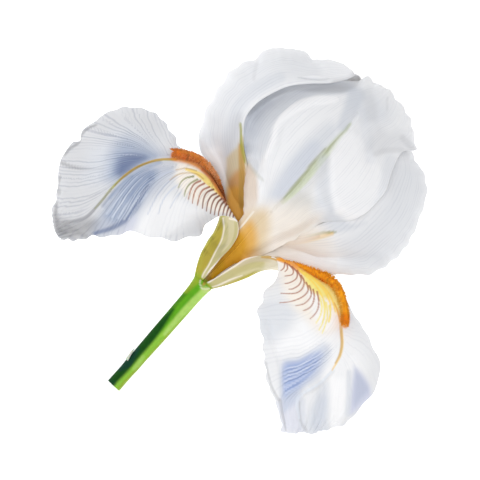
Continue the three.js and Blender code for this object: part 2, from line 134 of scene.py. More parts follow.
def ribSurface(ribs):  # a rib is one margin, the middle and the other margin, each as x, y and z
    def pointAt(u, v):
        r = readRows(ribs, u)
        near, middle, far = v * (v - 1) / 2, 1 - v * v, v * (v + 1) / 2
        return near[:, None] * r[:, 0:3] + middle[:, None] * r[:, 3:6] + far[:, None] * r[:, 6:9]

    return pointAt


def domeSurface(ribs):  # a rib is a span of bearings round the axis, with what its margins rise and stand out by
    def pointAt(u, v):
        x, radius, bearing, firstSpan, secondSpan, firstUp, secondUp, firstOut, secondOut = readRows(ribs, u).T
        first = v < 0
        angle = np.radians(bearing + v * np.where(first, firstSpan, secondSpan))
        up = x + v * v * np.where(first, firstUp, secondUp)
        sag = 1 - flower["sag"] * np.maximum(-np.cos(angle), 0) ** 2
        out = (radius + v * v * np.where(first, firstOut, secondOut)) * sag
        axisY = flower["throatY"] * np.maximum(1 - up / flower["centringLength"], 0)
        return np.stack((up, axisY + out * np.sin(angle), out * np.cos(angle)), -1)

    return pointAt


# Brush strokes and patches, in the picture's pixels.


def smooth(t):
    t = np.clip(t, 0, 1)
    return t * t * (3 - 2 * t)


tiny = 1e-9


def toLine(at, line):  # distance to a line of points, and how far along it the nearest place is
    nearest, along = np.full(len(at), np.inf), np.zeros(len(at))
    for k in range(len(line) - 1):
        span = line[k + 1] - line[k]
        t = np.clip((at - line[k]) @ span / max(span @ span, tiny), 0, 1)
        away = np.linalg.norm(at - line[k] - t[:, None] * span, axis=1)
        closer = away < nearest
        nearest[closer], along[closer] = away[closer], (k + t[closer]) / (len(line) - 1)
    return nearest, along


smoothing = {"stroke": 6, "patch": 5}  # pieces that a curve has between two of its points


def brushed(at, points, width, blur):  # a point's third number is the stroke's half-width there
    rows = [(*point[:2], point[2] if len(point) > 2 else width) for point in points]
    line = readRows(rows, np.linspace(0, 1, smoothing["stroke"] * (len(rows) - 1) + 1))
    reach = line[:, 2].max() + blur
    mask = np.zeros(len(at))
    near = np.all((at > line[:, :2].min(0) - reach) & (at < line[:, :2].max(0) + reach), axis=1)
    if near.any():
        away, along = toLine(at[near], line[:, :2])
        halfWidth = np.interp(along, np.linspace(0, 1, len(line)), line[:, 2])
        mask[near] = 1 - smooth((away - halfWidth) / blur)
    return mask


def patched(at, points, blur):
    corners = readRows([*points, points[0]], np.linspace(0, 1, smoothing["patch"] * len(points) + 1))
    inside = np.zeros(len(at), bool)
    for a, b in zip(corners[:-1], corners[1:]):
        crosses = (a[1] > at[:, 1]) != (b[1] > at[:, 1])
        edge = a[0] + (at[:, 1] - a[1]) / (b[1] - a[1] or tiny) * (b[0] - a[0])
        inside ^= crosses & (at[:, 0] < edge)
    away, _ = toLine(at, corners)
    return smooth(0.5 + np.where(inside, away, -away) / (2 * blur))


def maskOf(at, width, blur, points):  # a patch has no width
    return patched(at, points, blur) if width is None else brushed(at, points, width, blur)


def strokes(name, strength, width, blur, *lines):  # brush strokes that thin out towards their ends
    def thinned(line):
        return [(x, y, width * (1 - 0.8 * k / (len(line) - 1))) for k, (x, y) in enumerate(line)]

    return [(name, strength, width, blur, thinned(line)) for line in lines]


colours = {  # red, green and blue as in a paint program
    "white": (252, 252, 254),
    "cream": (248, 238, 226),
    "shade": (204, 206, 211),
    "shadow": (150, 151, 155),
    "coolGrey": (206, 211, 220),
    "blueGrey": (184, 193, 212),
    "grey": (186, 188, 194),
    "darkGrey": (140, 142, 150),
    "paleBlue": (214, 222, 234),
    "blue": (144, 162, 206),
    "slate": (136, 152, 180),
    "deepSlate": (84, 102, 140),
    "lilac": (196, 200, 222),
    "warmGrey": (212, 209, 202),
    "paleGreen": (206, 214, 184),
    "olive": (158, 158, 62),
    "arcOlive": (134, 138, 84),
    "leafOlive": (172, 162, 56),
    "leafBrown": (168, 148, 52),
    "stemGreen": (150, 170, 40),
    "darkOlive": (140, 104, 8),
    "green": (128, 168, 40),
    "tan": (196, 182, 152),
    "paleTan": (222, 212, 192),
    "khaki": (206, 190, 156),
    "pinkCream": (228, 210, 194),
    "haft": (204, 194, 150),
    "haftShade": (184, 176, 118),
    "clay": (204, 152, 96),
    "goldBrown": (190, 148, 70),
    "gold": (216, 154, 32),
    "oliveGold": (200, 150, 20),
    "amber": (228, 168, 72),
    "sand": (226, 198, 156),
    "paleGold": (240, 200, 130),
    "yellow": (252, 216, 92),
    "lemon": (246, 230, 132),
    "orange": (238, 150, 30),
    "rust": (178, 86, 40),
    "brown": (132, 62, 30),
    "arcRust": (158, 88, 54),
    "arcBrown": (118, 62, 40),
    "pink": (234, 212, 204),
    "beardRust": (224, 142, 62),
    "beardPink": (244, 200, 160),
    "beardGold": (255, 174, 36),
    "beardRed": (240, 112, 16),
    "beardTip": (255, 214, 110),
    "leaf": (92, 164, 22),
    "lime": (142, 196, 64),
    "paleLime": (178, 214, 112),
    "edgeOlive": (146, 164, 44),
    "moss": (66, 120, 10),
    "deepGreen": (14, 74, 8),
    "darkTeal": (8, 58, 44),
    "scrapGrey": (200, 206, 192),
    "throatPale": (206, 206, 150),
}


def toLinear(colour):
    c = np.asarray(colour, float) / 255
    return np.where(c < 0.04045, c / 12.92, ((c + 0.055) / 1.055) ** 2.4)


def painted(at, marks, shown=1.0):  # the colour and cover that a list of brush marks leaves at each place
    colour, cover = np.tile(toLinear(colours["white"]), (len(at), 1)), np.zeros(len(at))
    for name, strength, width, blur, points in marks:
        mask = strength * maskOf(at, width, blur, points) * shown
        total = cover + (1 - cover) * mask
        share = np.divide(mask, total, out=np.zeros(len(at)), where=total > 0)
        colour += (toLinear(colours[name]) - colour) * share[:, None]
        cover = total
    return np.column_stack((colour, cover))


def addPaint(mesh, name, values):
    layer = mesh.attributes.new(name, "FLOAT_COLOR", "POINT")
    layer.data.foreach_set("color", np.asarray(values, np.float32).ravel())


def newMaterial(name):
    material = bpy.data.materials.new(name)
    material.use_nodes = True
    tree = material.node_tree
    tree.nodes.clear()
    shader = tree.nodes.new("ShaderNodeBsdfPrincipled")
    output = tree.nodes.new("ShaderNodeOutputMaterial")
    tree.links.new(shader.outputs["BSDF"], output.inputs["Surface"])
    return material, tree, shader


def feed(tree, socket, value):
    if isinstance(value, bpy.types.NodeSocket):
        tree.links.new(value, socket)
    else:
        socket.default_value = value


def calc(tree, operation, a, b=None, c=None):
    node = tree.nodes.new("ShaderNodeMath")
    node.operation = operation
    for socket, value in zip(node.inputs, (a, b, c)):
        if value is not None:
            feed(tree, socket, value)
    return node.outputs[0]


def fade(tree, value, low, high):
    node = tree.nodes.new("ShaderNodeMapRange")
    node.interpolation_type = "SMOOTHSTEP"
    for name, number in (("Value", value), ("From Min", low), ("From Max", high)):
        feed(tree, node.inputs[name], number)
    return node.outputs["Result"]


def mixed(tree, share, a, b, blend="MIX"):
    node = tree.nodes.new("ShaderNodeMix")
    node.data_type = "RGBA"
    node.blend_type = blend
    feed(tree, node.inputs[0], share)
    for socket, colour in ((node.inputs[6], a), (node.inputs[7], b)):
        feed(tree, socket, (*colour, 1) if isinstance(colour, tuple) else colour)
    return node.outputs[2]


def attribute(tree, name):
    node = tree.nodes.new("ShaderNodeAttribute")
    node.attribute_name = name
    return node


def setSockets(node, values):
    for name, value in values.items():
        node.inputs[name].default_value = value


def addRelief(tree, shader, height, strength, distance):
    bump = tree.nodes.new("ShaderNodeBump")
    setSockets(bump, {"Strength": strength, "Distance": distance})
    tree.links.new(height, bump.inputs["Height"])
    tree.links.new(bump.outputs["Normal"], shader.inputs["Normal"])


# A petal's values. The ribs run from the claw to the tip, in millimetres. "outside" is -1 where the
# outer side faces away from the picture, and "dome" marks a petal whose ribs go round the axis. The
# rest is read off the picture, in its pixels:
#   nudges         a place, the shift of what shows there, and how far round it that reaches
#   folds          height in millimetres, half-width or None for a patch, blur, and the points
#   drops          the same, for wide shifts, which a beard on the petal follows
#   levels         a height or the heights along a line, strength, only from below or not, blur, corners
#   flow           a few of the veins, in their order, with perStep veins from each to the next
#   dark, streaks  how strongly the veins show: everywhere, and then in patches
#   paint          colour, strength, half-width or None for a patch, blur, and the points; besides the petals' own colours, many marks are painted shade and painted highlights
leftFall = {
    "outside": 1,
    "mesh": (288, 168),
    "ribs": [
        [0.4, 1.9, 3.6, 0.4, 4.6, 2.0, 0.4, 4.4, -1.9],
        [6, 2.2, 5.4, 6, 7.4, 3.4, 6, 7.0, -2.4],
        [12.5, 2.7, 7.6, 12.5, 9.6, 5.4, 12.5, 9.6, -2.8],
        [18.5, 2.7, 9.6, 18.5, 10.9, 7.4, 18.5, 10.8, -2.6],
        [24.3, 4.4, 12.2, 24.8, 13.2, 10, 24, 14, -2.2],
        [27.4, 8.6, 15.8, 29, 17.6, 13.2, 24.6, 18.6, -1.4],
        [24.4, 14.4, 20, 32.2, 24, 17.2, 24.4, 22.6, -0.4],
        [16.5, 16.4, 25, 34, 31.5, 21.5, 24, 28.4, 1],
        [7, 20, 29, 33.4, 38.2, 26, 24.6, 36, 2.6],
        [2.6, 24.4, 30.4, 30.6, 42.2, 28.2, 28.2, 43.6, 4.4],
        [-1, 30.4, 30.8, 25.4, 46.4, 30, 36.2, 53.6, 7.4],
        [-4.4, 36.4, 30.2, 18.4, 50.2, 31, 34.8, 65, 9.4],
        [-9.4, 40.2, 29, 8, 52.6, 30.6, 24, 75, 10],
        [-14.6, 44.6, 27.4, -2.6, 53.4, 29, 9, 77.4, 10.2],
        [-20, 49, 25.4, -13.4, 54.8, 26.6, -4.8, 75.2, 12],
        [-24.8, 52.8, 23.6, -25, 58.4, 24, -19, 65.4, 16],
    ],
    "wave": {"height": 1.3, "waves": 6.5, "phase": 0.4},
    "nudges": [
        ((102, 118), (-1, -2), 8), ((110, 115), (-1, -4), 10), ((122, 111), (0, -4), 12), ((136, 109), (0, 0), 10),
        ((150, 110), (0, 2), 10), ((161, 118), (-3, 2), 9), ((171, 138), (4, -1), 10), ((77, 137), (4, 4), 8),
        ((62, 158), (-1, 1), 6), ((57, 186), (1.5, 0), 12), ((54, 201), (3, 0), 10), ((68, 242), (0, -3), 6),
        ((84, 237), (0, 3), 8), ((100, 236), (0, 1), 8), ((122, 230), (0, 3), 10), ((150, 236), (0, 1), 12),
        ((175, 239), (-1, 2), 14), ((196, 232), (4, 4), 12), ((209, 241), (-1, 0), 12), ((203, 253), (-2, 0), 12),
        ((199, 264), (-2, 0), 12), ((196, 274), (-1.5, 0), 10),
    ],
    "folds": [
        (-0.7, 1.2, 5, [(170, 232), (180, 222), (198, 214), (214, 212)]),
        (-0.6, 1.0, 4, [(150, 172), (136, 192), (128, 216)]),
        (-0.5, 1.0, 4, [(128, 150), (104, 160), (84, 178)]),
        (-0.6, 1.0, 4, [(120, 194), (104, 212), (88, 226)]),
    ],
    "flow": [
        [(176, 150), (171, 138), (166, 126), (160, 112)],
        [(168, 152), (163, 141), (157, 130), (151, 112)],
        [(164, 153), (156, 143), (149, 133), (144, 122), (139, 108)],
        [(160, 153), (150, 143), (141, 134), (131, 125), (119, 112)],
        [(157, 153), (146, 142), (134, 135), (120, 128), (104, 121), (94, 116)],
        [(155, 154), (140, 144), (128, 139), (116, 137), (100, 134), (80, 128)],
        [(153, 155), (138, 148), (124, 146), (106, 142), (90, 140), (70, 138)],
        [(152, 156), (138, 152), (124, 151), (110, 149), (92, 148), (62, 150)],
        [(150, 158), (134, 155), (122, 155), (110, 157), (96, 159), (80, 158), (54, 156)],
        [(147, 161), (136, 160), (126, 160), (114, 163), (102, 166), (88, 168), (74, 168), (52, 165)],
        [(142, 164), (130, 165), (120, 168), (110, 171), (98, 175), (84, 177), (70, 177), (50, 175)],
        [(136, 168), (124, 172), (116, 177), (106, 182), (94, 187), (80, 189), (66, 189), (48, 189)],
        [(125, 177), (114, 184), (104, 191), (92, 197), (78, 201), (66, 201), (46, 202)],
        [(113, 189), (102, 198), (92, 206), (80, 212), (68, 214), (46, 214)],
        [
            (178, 160), (160, 160), (148, 163), (136, 168), (126, 175), (118, 182), (110, 191), (102, 201),
            (95, 209), (88, 216), (80, 221), (68, 224), (50, 226),
        ],
        [(160, 165), (145, 168), (132, 175), (121, 186), (111, 199), (101, 211), (91, 221), (76, 234)],
        [(168, 166), (152, 169), (138, 177), (126, 190), (117, 203), (109, 215), (100, 227), (92, 240)],
        [(174, 167), (158, 171), (144, 180), (132, 193), (123, 207), (116, 219), (108, 234)],
        [(179, 168), (164, 173), (150, 183), (139, 196), (130, 209), (122, 222), (116, 236)],
        [(184, 170), (170, 176), (158, 187), (148, 200), (141, 214), (134, 236)],
        [(188, 173), (177, 181), (167, 193), (159, 208), (152, 222), (148, 240)],
        [(193, 177), (183, 187), (175, 200), (170, 216), (164, 242)],
        [(199, 182), (191, 192), (185, 206), (182, 222), (180, 243)],
        [(207, 187), (199, 198), (196, 210), (198, 224), (200, 240)],
        [(217, 194), (209, 203), (208, 212), (213, 222)],
    ],
    "perStep": 3.0,
    "dark": (0.42, [
        (0.6, 8, [(150, 154), (140, 126), (118, 130), (98, 136), (92, 152), (104, 166), (130, 160)]),
        (0.75, 5, [(150, 150), (144, 134), (126, 132), (112, 140), (124, 148)]),
        (0.6, 6, [(158, 170), (136, 176), (114, 204), (112, 222), (126, 224), (142, 210), (150, 190), (176, 172)]),
        (0.1, 6, [(150, 200), (138, 220), (150, 236), (196, 232), (212, 214), (196, 206), (170, 196)]),
    ]),
    "streaks": (0.0, [
        (0.4, 6, [(146, 174), (132, 182), (114, 206), (112, 222), (120, 222), (134, 206), (152, 184), (166, 172)]),
        (0.3, 6, [(104, 166), (112, 156), (130, 152), (140, 156), (120, 166), (108, 176)]),
    ]),
    "outerPaint": [
        ("leafOlive", 1.0, None, 3, [
            (190, 296), (190, 280), (197, 262), (203, 248), (212, 234), (221, 216), (226, 216), (226, 230),
            (222, 246), (212, 262), (204, 284),
        ]),
        ("stemGreen", 0.9, None, 5, [(190, 298), (188, 284), (196, 272), (203, 276), (206, 290)]),
        ("leafBrown", 0.7, None, 4, [
            (201, 272), (205, 252), (215, 236), (221, 219), (225, 222), (221, 242), (210, 262),
        ]),
        ("haft", 0.9, None, 2.0, [
            (201, 287), (203, 274), (209, 264), (216, 251), (221.5, 240), (224, 228), (223, 217), (231, 216),
            (240, 220), (241, 229), (238, 240), (232, 250), (216, 264), (206, 286),
        ]),
        ("haftShade", 0.55, 1.2, 2.4, [
            (226, 224, 1), (226, 236, 1.2), (221, 248, 1.6), (214, 259, 1.2), (208, 270, 1),
        ]),
        ("haftShade", 0.6, 0.5, 1.2, [
            (236, 222, 1), (236, 232, 1), (233, 242, 1), (226, 251, 1), (217, 258, 1), (209, 270, 0.6),
        ]),
        ("cream", 0.6, 0.3, 0.9, [
            (201, 285), (203, 275), (209, 265), (215.5, 252), (221.8, 240), (224.4, 228), (223.4, 218),
        ]),
        ("cream", 0.8, 0.4, 1.0, [
            (204, 286), (209, 272), (215.5, 264.5), (224, 257), (231.5, 249), (237, 239), (239.5, 228), (238, 221),
            (230, 218.5),
        ]),
    ],
    "innerPaint": [
        # painted shade: a grey ground over the blade, darker towards the far margins and along their folds
        ("shade", 0.72, None, 10, [(40, 100), (260, 100), (260, 260), (40, 260)]),
        ("shadow", 0.22, None, 24, [(50, 250), (48, 150), (76, 130), (104, 150), (116, 190), (104, 250)]),
        ("shadow", 0.2, None, 12, [
            (96, 124), (110, 116), (134, 112), (156, 118), (160, 132), (150, 148), (130, 150), (104, 142),
        ]),
        ("shadow", 0.75, None, 6, [
            (54, 216), (64, 220), (76, 222), (90, 218), (100, 222), (92, 234), (70, 240), (56, 234),
        ]),
        *strokes(
            "shadow", 0.75, 0.8, 2.5,
            [(66, 232), (60, 230), (57, 226), (58, 221)], [(57, 222), (56, 213), (57, 204)],
        ),
        *strokes(
            "shadow", 0.7, 0.7, 2.0,
            [(62, 163), (72, 167), (86, 169), (104, 169)], [(60, 178), (58, 186), (60, 194)],
        ),
        *strokes("shadow", 0.7, 0.6, 1.8, [(66, 154), (70, 149), (79, 143), (82, 135), (88, 129), (97, 125)]),
        *strokes(
            "shadow", 0.55, 0.8, 2.4,
            [(64, 223), (76, 221), (86, 218), (94, 211)], [(86, 236), (74, 230), (66, 226)],
        ),
        # painted light: a lighter patch where the blade is brightest, and painted shade along its lower edge
        ("white", 0.5, None, 9, [
            (176, 236), (150, 240), (136, 234), (134, 220), (146, 206), (166, 196), (190, 200), (206, 210),
            (196, 222),
        ]),
        ("shadow", 0.28, None, 7, [(166, 238), (182, 224), (200, 215), (216, 213), (214, 224), (198, 238)]),
        # the blue either side of the midrib
        ("coolGrey", 0.7, None, 12, [
            (84, 180), (92, 150), (118, 128), (144, 132), (160, 150), (130, 166), (104, 186),
        ]),
        ("slate", 0.6, None, 9, [
            (104, 178), (110, 152), (124, 138), (142, 142), (158, 151), (172, 156), (150, 162), (132, 171),
            (116, 184),
        ]),
        ("slate", 0.75, None, 6, [
            (112, 176), (115, 160), (124, 151), (140, 153), (156, 157), (140, 165), (124, 177),
        ]),
        ("deepSlate", 0.8, None, 6, [(116, 172), (120, 159), (134, 154), (146, 158), (134, 167), (122, 176)]),
        ("slate", 0.5, None, 9, [
            (92, 236), (100, 214), (118, 190), (138, 172), (160, 164), (176, 168), (164, 184), (148, 204),
            (132, 224), (112, 234),
        ]),
        ("slate", 0.7, None, 6, [
            (104, 216), (118, 192), (134, 176), (152, 169), (158, 174), (146, 192), (134, 212), (118, 224),
        ]),
        ("deepSlate", 0.4, None, 6, [(128, 196), (134, 180), (148, 172), (156, 175), (146, 190), (136, 204)]),
        *strokes(
            "deepSlate", 0.7, 1.2, 3.5,
            [(152, 180), (144, 192), (138, 204), (131, 214), (121, 223), (109, 229), (95, 233)],
        ),
        *strokes("deepSlate", 0.45, 0.8, 3.0, [(104, 206), (112, 196), (122, 186), (132, 177)]),
        ("lilac", 0.5, None, 6, [(118, 236), (124, 226), (134, 216), (138, 222), (132, 234)]),
        # light streaks that follow the veins through the blue
        *strokes(
            "paleBlue", 0.4, 0.6, 0.9,
            [(118, 218), (126, 206), (136, 192), (148, 179)], [(112, 217), (121, 204), (131, 190), (142, 178)],
        ),
        *strokes(
            "paleBlue", 0.4, 0.6, 0.9,
            [(124, 219), (132, 207), (142, 193), (152, 182)], [(107, 214), (116, 202), (126, 189), (137, 177)],
        ),
        *strokes(
            "paleBlue", 0.4, 0.6, 0.9,
            [(103, 209), (112, 198), (121, 187), (131, 178)], [(129, 219), (138, 206), (147, 194)],
        ),
        *strokes(
            "blueGrey", 0.7, 0.4, 0.9,
            [(188, 174), (176, 177), (166, 184), (156, 197), (148, 214)],
            [(182, 182), (172, 189), (163, 200), (158, 214)],
        ),
        *strokes(
            "blueGrey", 0.6, 0.4, 0.9,
            [(178, 170), (164, 174), (152, 184), (141, 202)], [(186, 188), (177, 196), (170, 208)],
        ),
        ("slate", 0.45, None, 3.5, [
            (122, 186), (134, 175), (150, 171), (157, 176), (147, 187), (137, 201), (126, 202),
        ]),
        # the midrib, golden and then olive and grey
        ("slate", 0.5, 1.4, 2.0, [(160, 163, 0.6), (146, 168, 1), (132, 177, 1), (120, 187, 1), (110, 198, 0.6)]),
        ("olive", 0.8, 0.7, 1.0, [
            (176, 160, 0.8), (160, 160, 0.7), (148, 163, 0.7), (136, 168, 0.7), (126, 175, 0.7), (118, 182, 0.7),
            (110, 191, 0.8), (102, 201, 0.6), (95, 209, 0.3),
        ]),
        ("goldBrown", 0.75, 0.6, 0.9, [
            (178, 159.5, 0.8), (160, 159.6, 0.6), (148, 162.6, 0.5), (136, 167.6, 0.3), (126, 174.6, 0.4),
            (120, 180, 0.1),
        ]),
        ("darkOlive", 0.5, 0.3, 0.8, [
            (162, 160.9, 0.1), (150, 162.8, 0.4), (140, 166.6, 0.6), (131, 172.2, 0.6), (122, 179, 0.5),
            (115, 186, 0.2),
        ]),
        ("darkGrey", 0.6, 0.5, 1.2, [
            (112, 189, 0.3), (102, 201, 0.7), (95, 209, 0.8), (88, 216, 0.8), (80, 220.5, 0.7), (70, 222.5, 0.4),
        ]),
        # the ground of the signal, and its arcs
        ("cream", 0.9, None, 5, [
            (178, 162), (196, 166), (212, 180), (234, 214), (206, 208), (186, 196), (176, 178),
        ]),
        ("yellow", 0.8, 2.0, 2.0, [
            (186, 169.5, 0.2), (194, 172, 0.8), (201, 176, 1.8), (208, 182, 2.2), (215, 189, 1.4), (221, 196, 0.6),
        ]),
        ("orange", 0.85, None, 2.0, [
            (172, 152), (184, 154), (200, 157), (212, 168), (220, 184), (228, 204), (222, 198), (214, 186),
            (206, 176), (196, 168), (184, 163), (172, 160),
        ]),
        ("rust", 0.6, 0.6, 2.0, [(202, 170), (209, 177), (215, 186), (221, 196), (226, 204)]),
        *strokes(
            "goldBrown", 0.6, 0.4, 0.8,
            [(203, 179), (196, 174), (186, 173), (177, 175), (170, 180)], [(196, 171), (186, 168.5), (176, 170)],
        ),
        *strokes(
            "arcOlive", 0.9, 0.6, 0.75,
            [(193, 176.5), (186, 178), (181, 182), (178, 188)],
            [(197, 179.5), (190, 183.5), (186, 189), (184, 196)],
        ),
        *strokes(
            "arcRust", 0.95, 0.6, 0.75,
            [(200, 181), (194, 184), (190.5, 190), (188, 199)],
            [(204, 183.5), (197.5, 187), (194, 193), (192, 203)],
            [(209, 187), (202.5, 190), (199, 196), (197, 205)],
        ),
        *strokes(
            "arcBrown", 0.95, 0.65, 0.75,
            [(213, 189.5), (207, 192), (203.5, 198), (202, 208)],
            [(216, 193.5), (211, 196), (207.5, 202), (206, 211)],
            [(218.5, 196), (214.3, 199), (211.5, 205), (210, 213.5)],
            [(221, 199), (217.7, 202), (215.2, 208), (214, 215)],
            [(223.5, 202), (220.8, 205), (218.8, 211), (218, 216)], [(226, 204.5), (224, 208), (222.4, 215)],
            [(228.3, 207.5), (227, 211), (226, 216)], [(231, 211), (229.8, 214), (229, 217)],
            [(233.5, 214), (232.4, 218)],
        ),
        ("arcBrown", 0.75, 0.7, 1.0, [(224, 199, 0.9), (230, 206, 0.8), (236, 214, 0.6), (239, 220, 0.3)]),
    ],
}

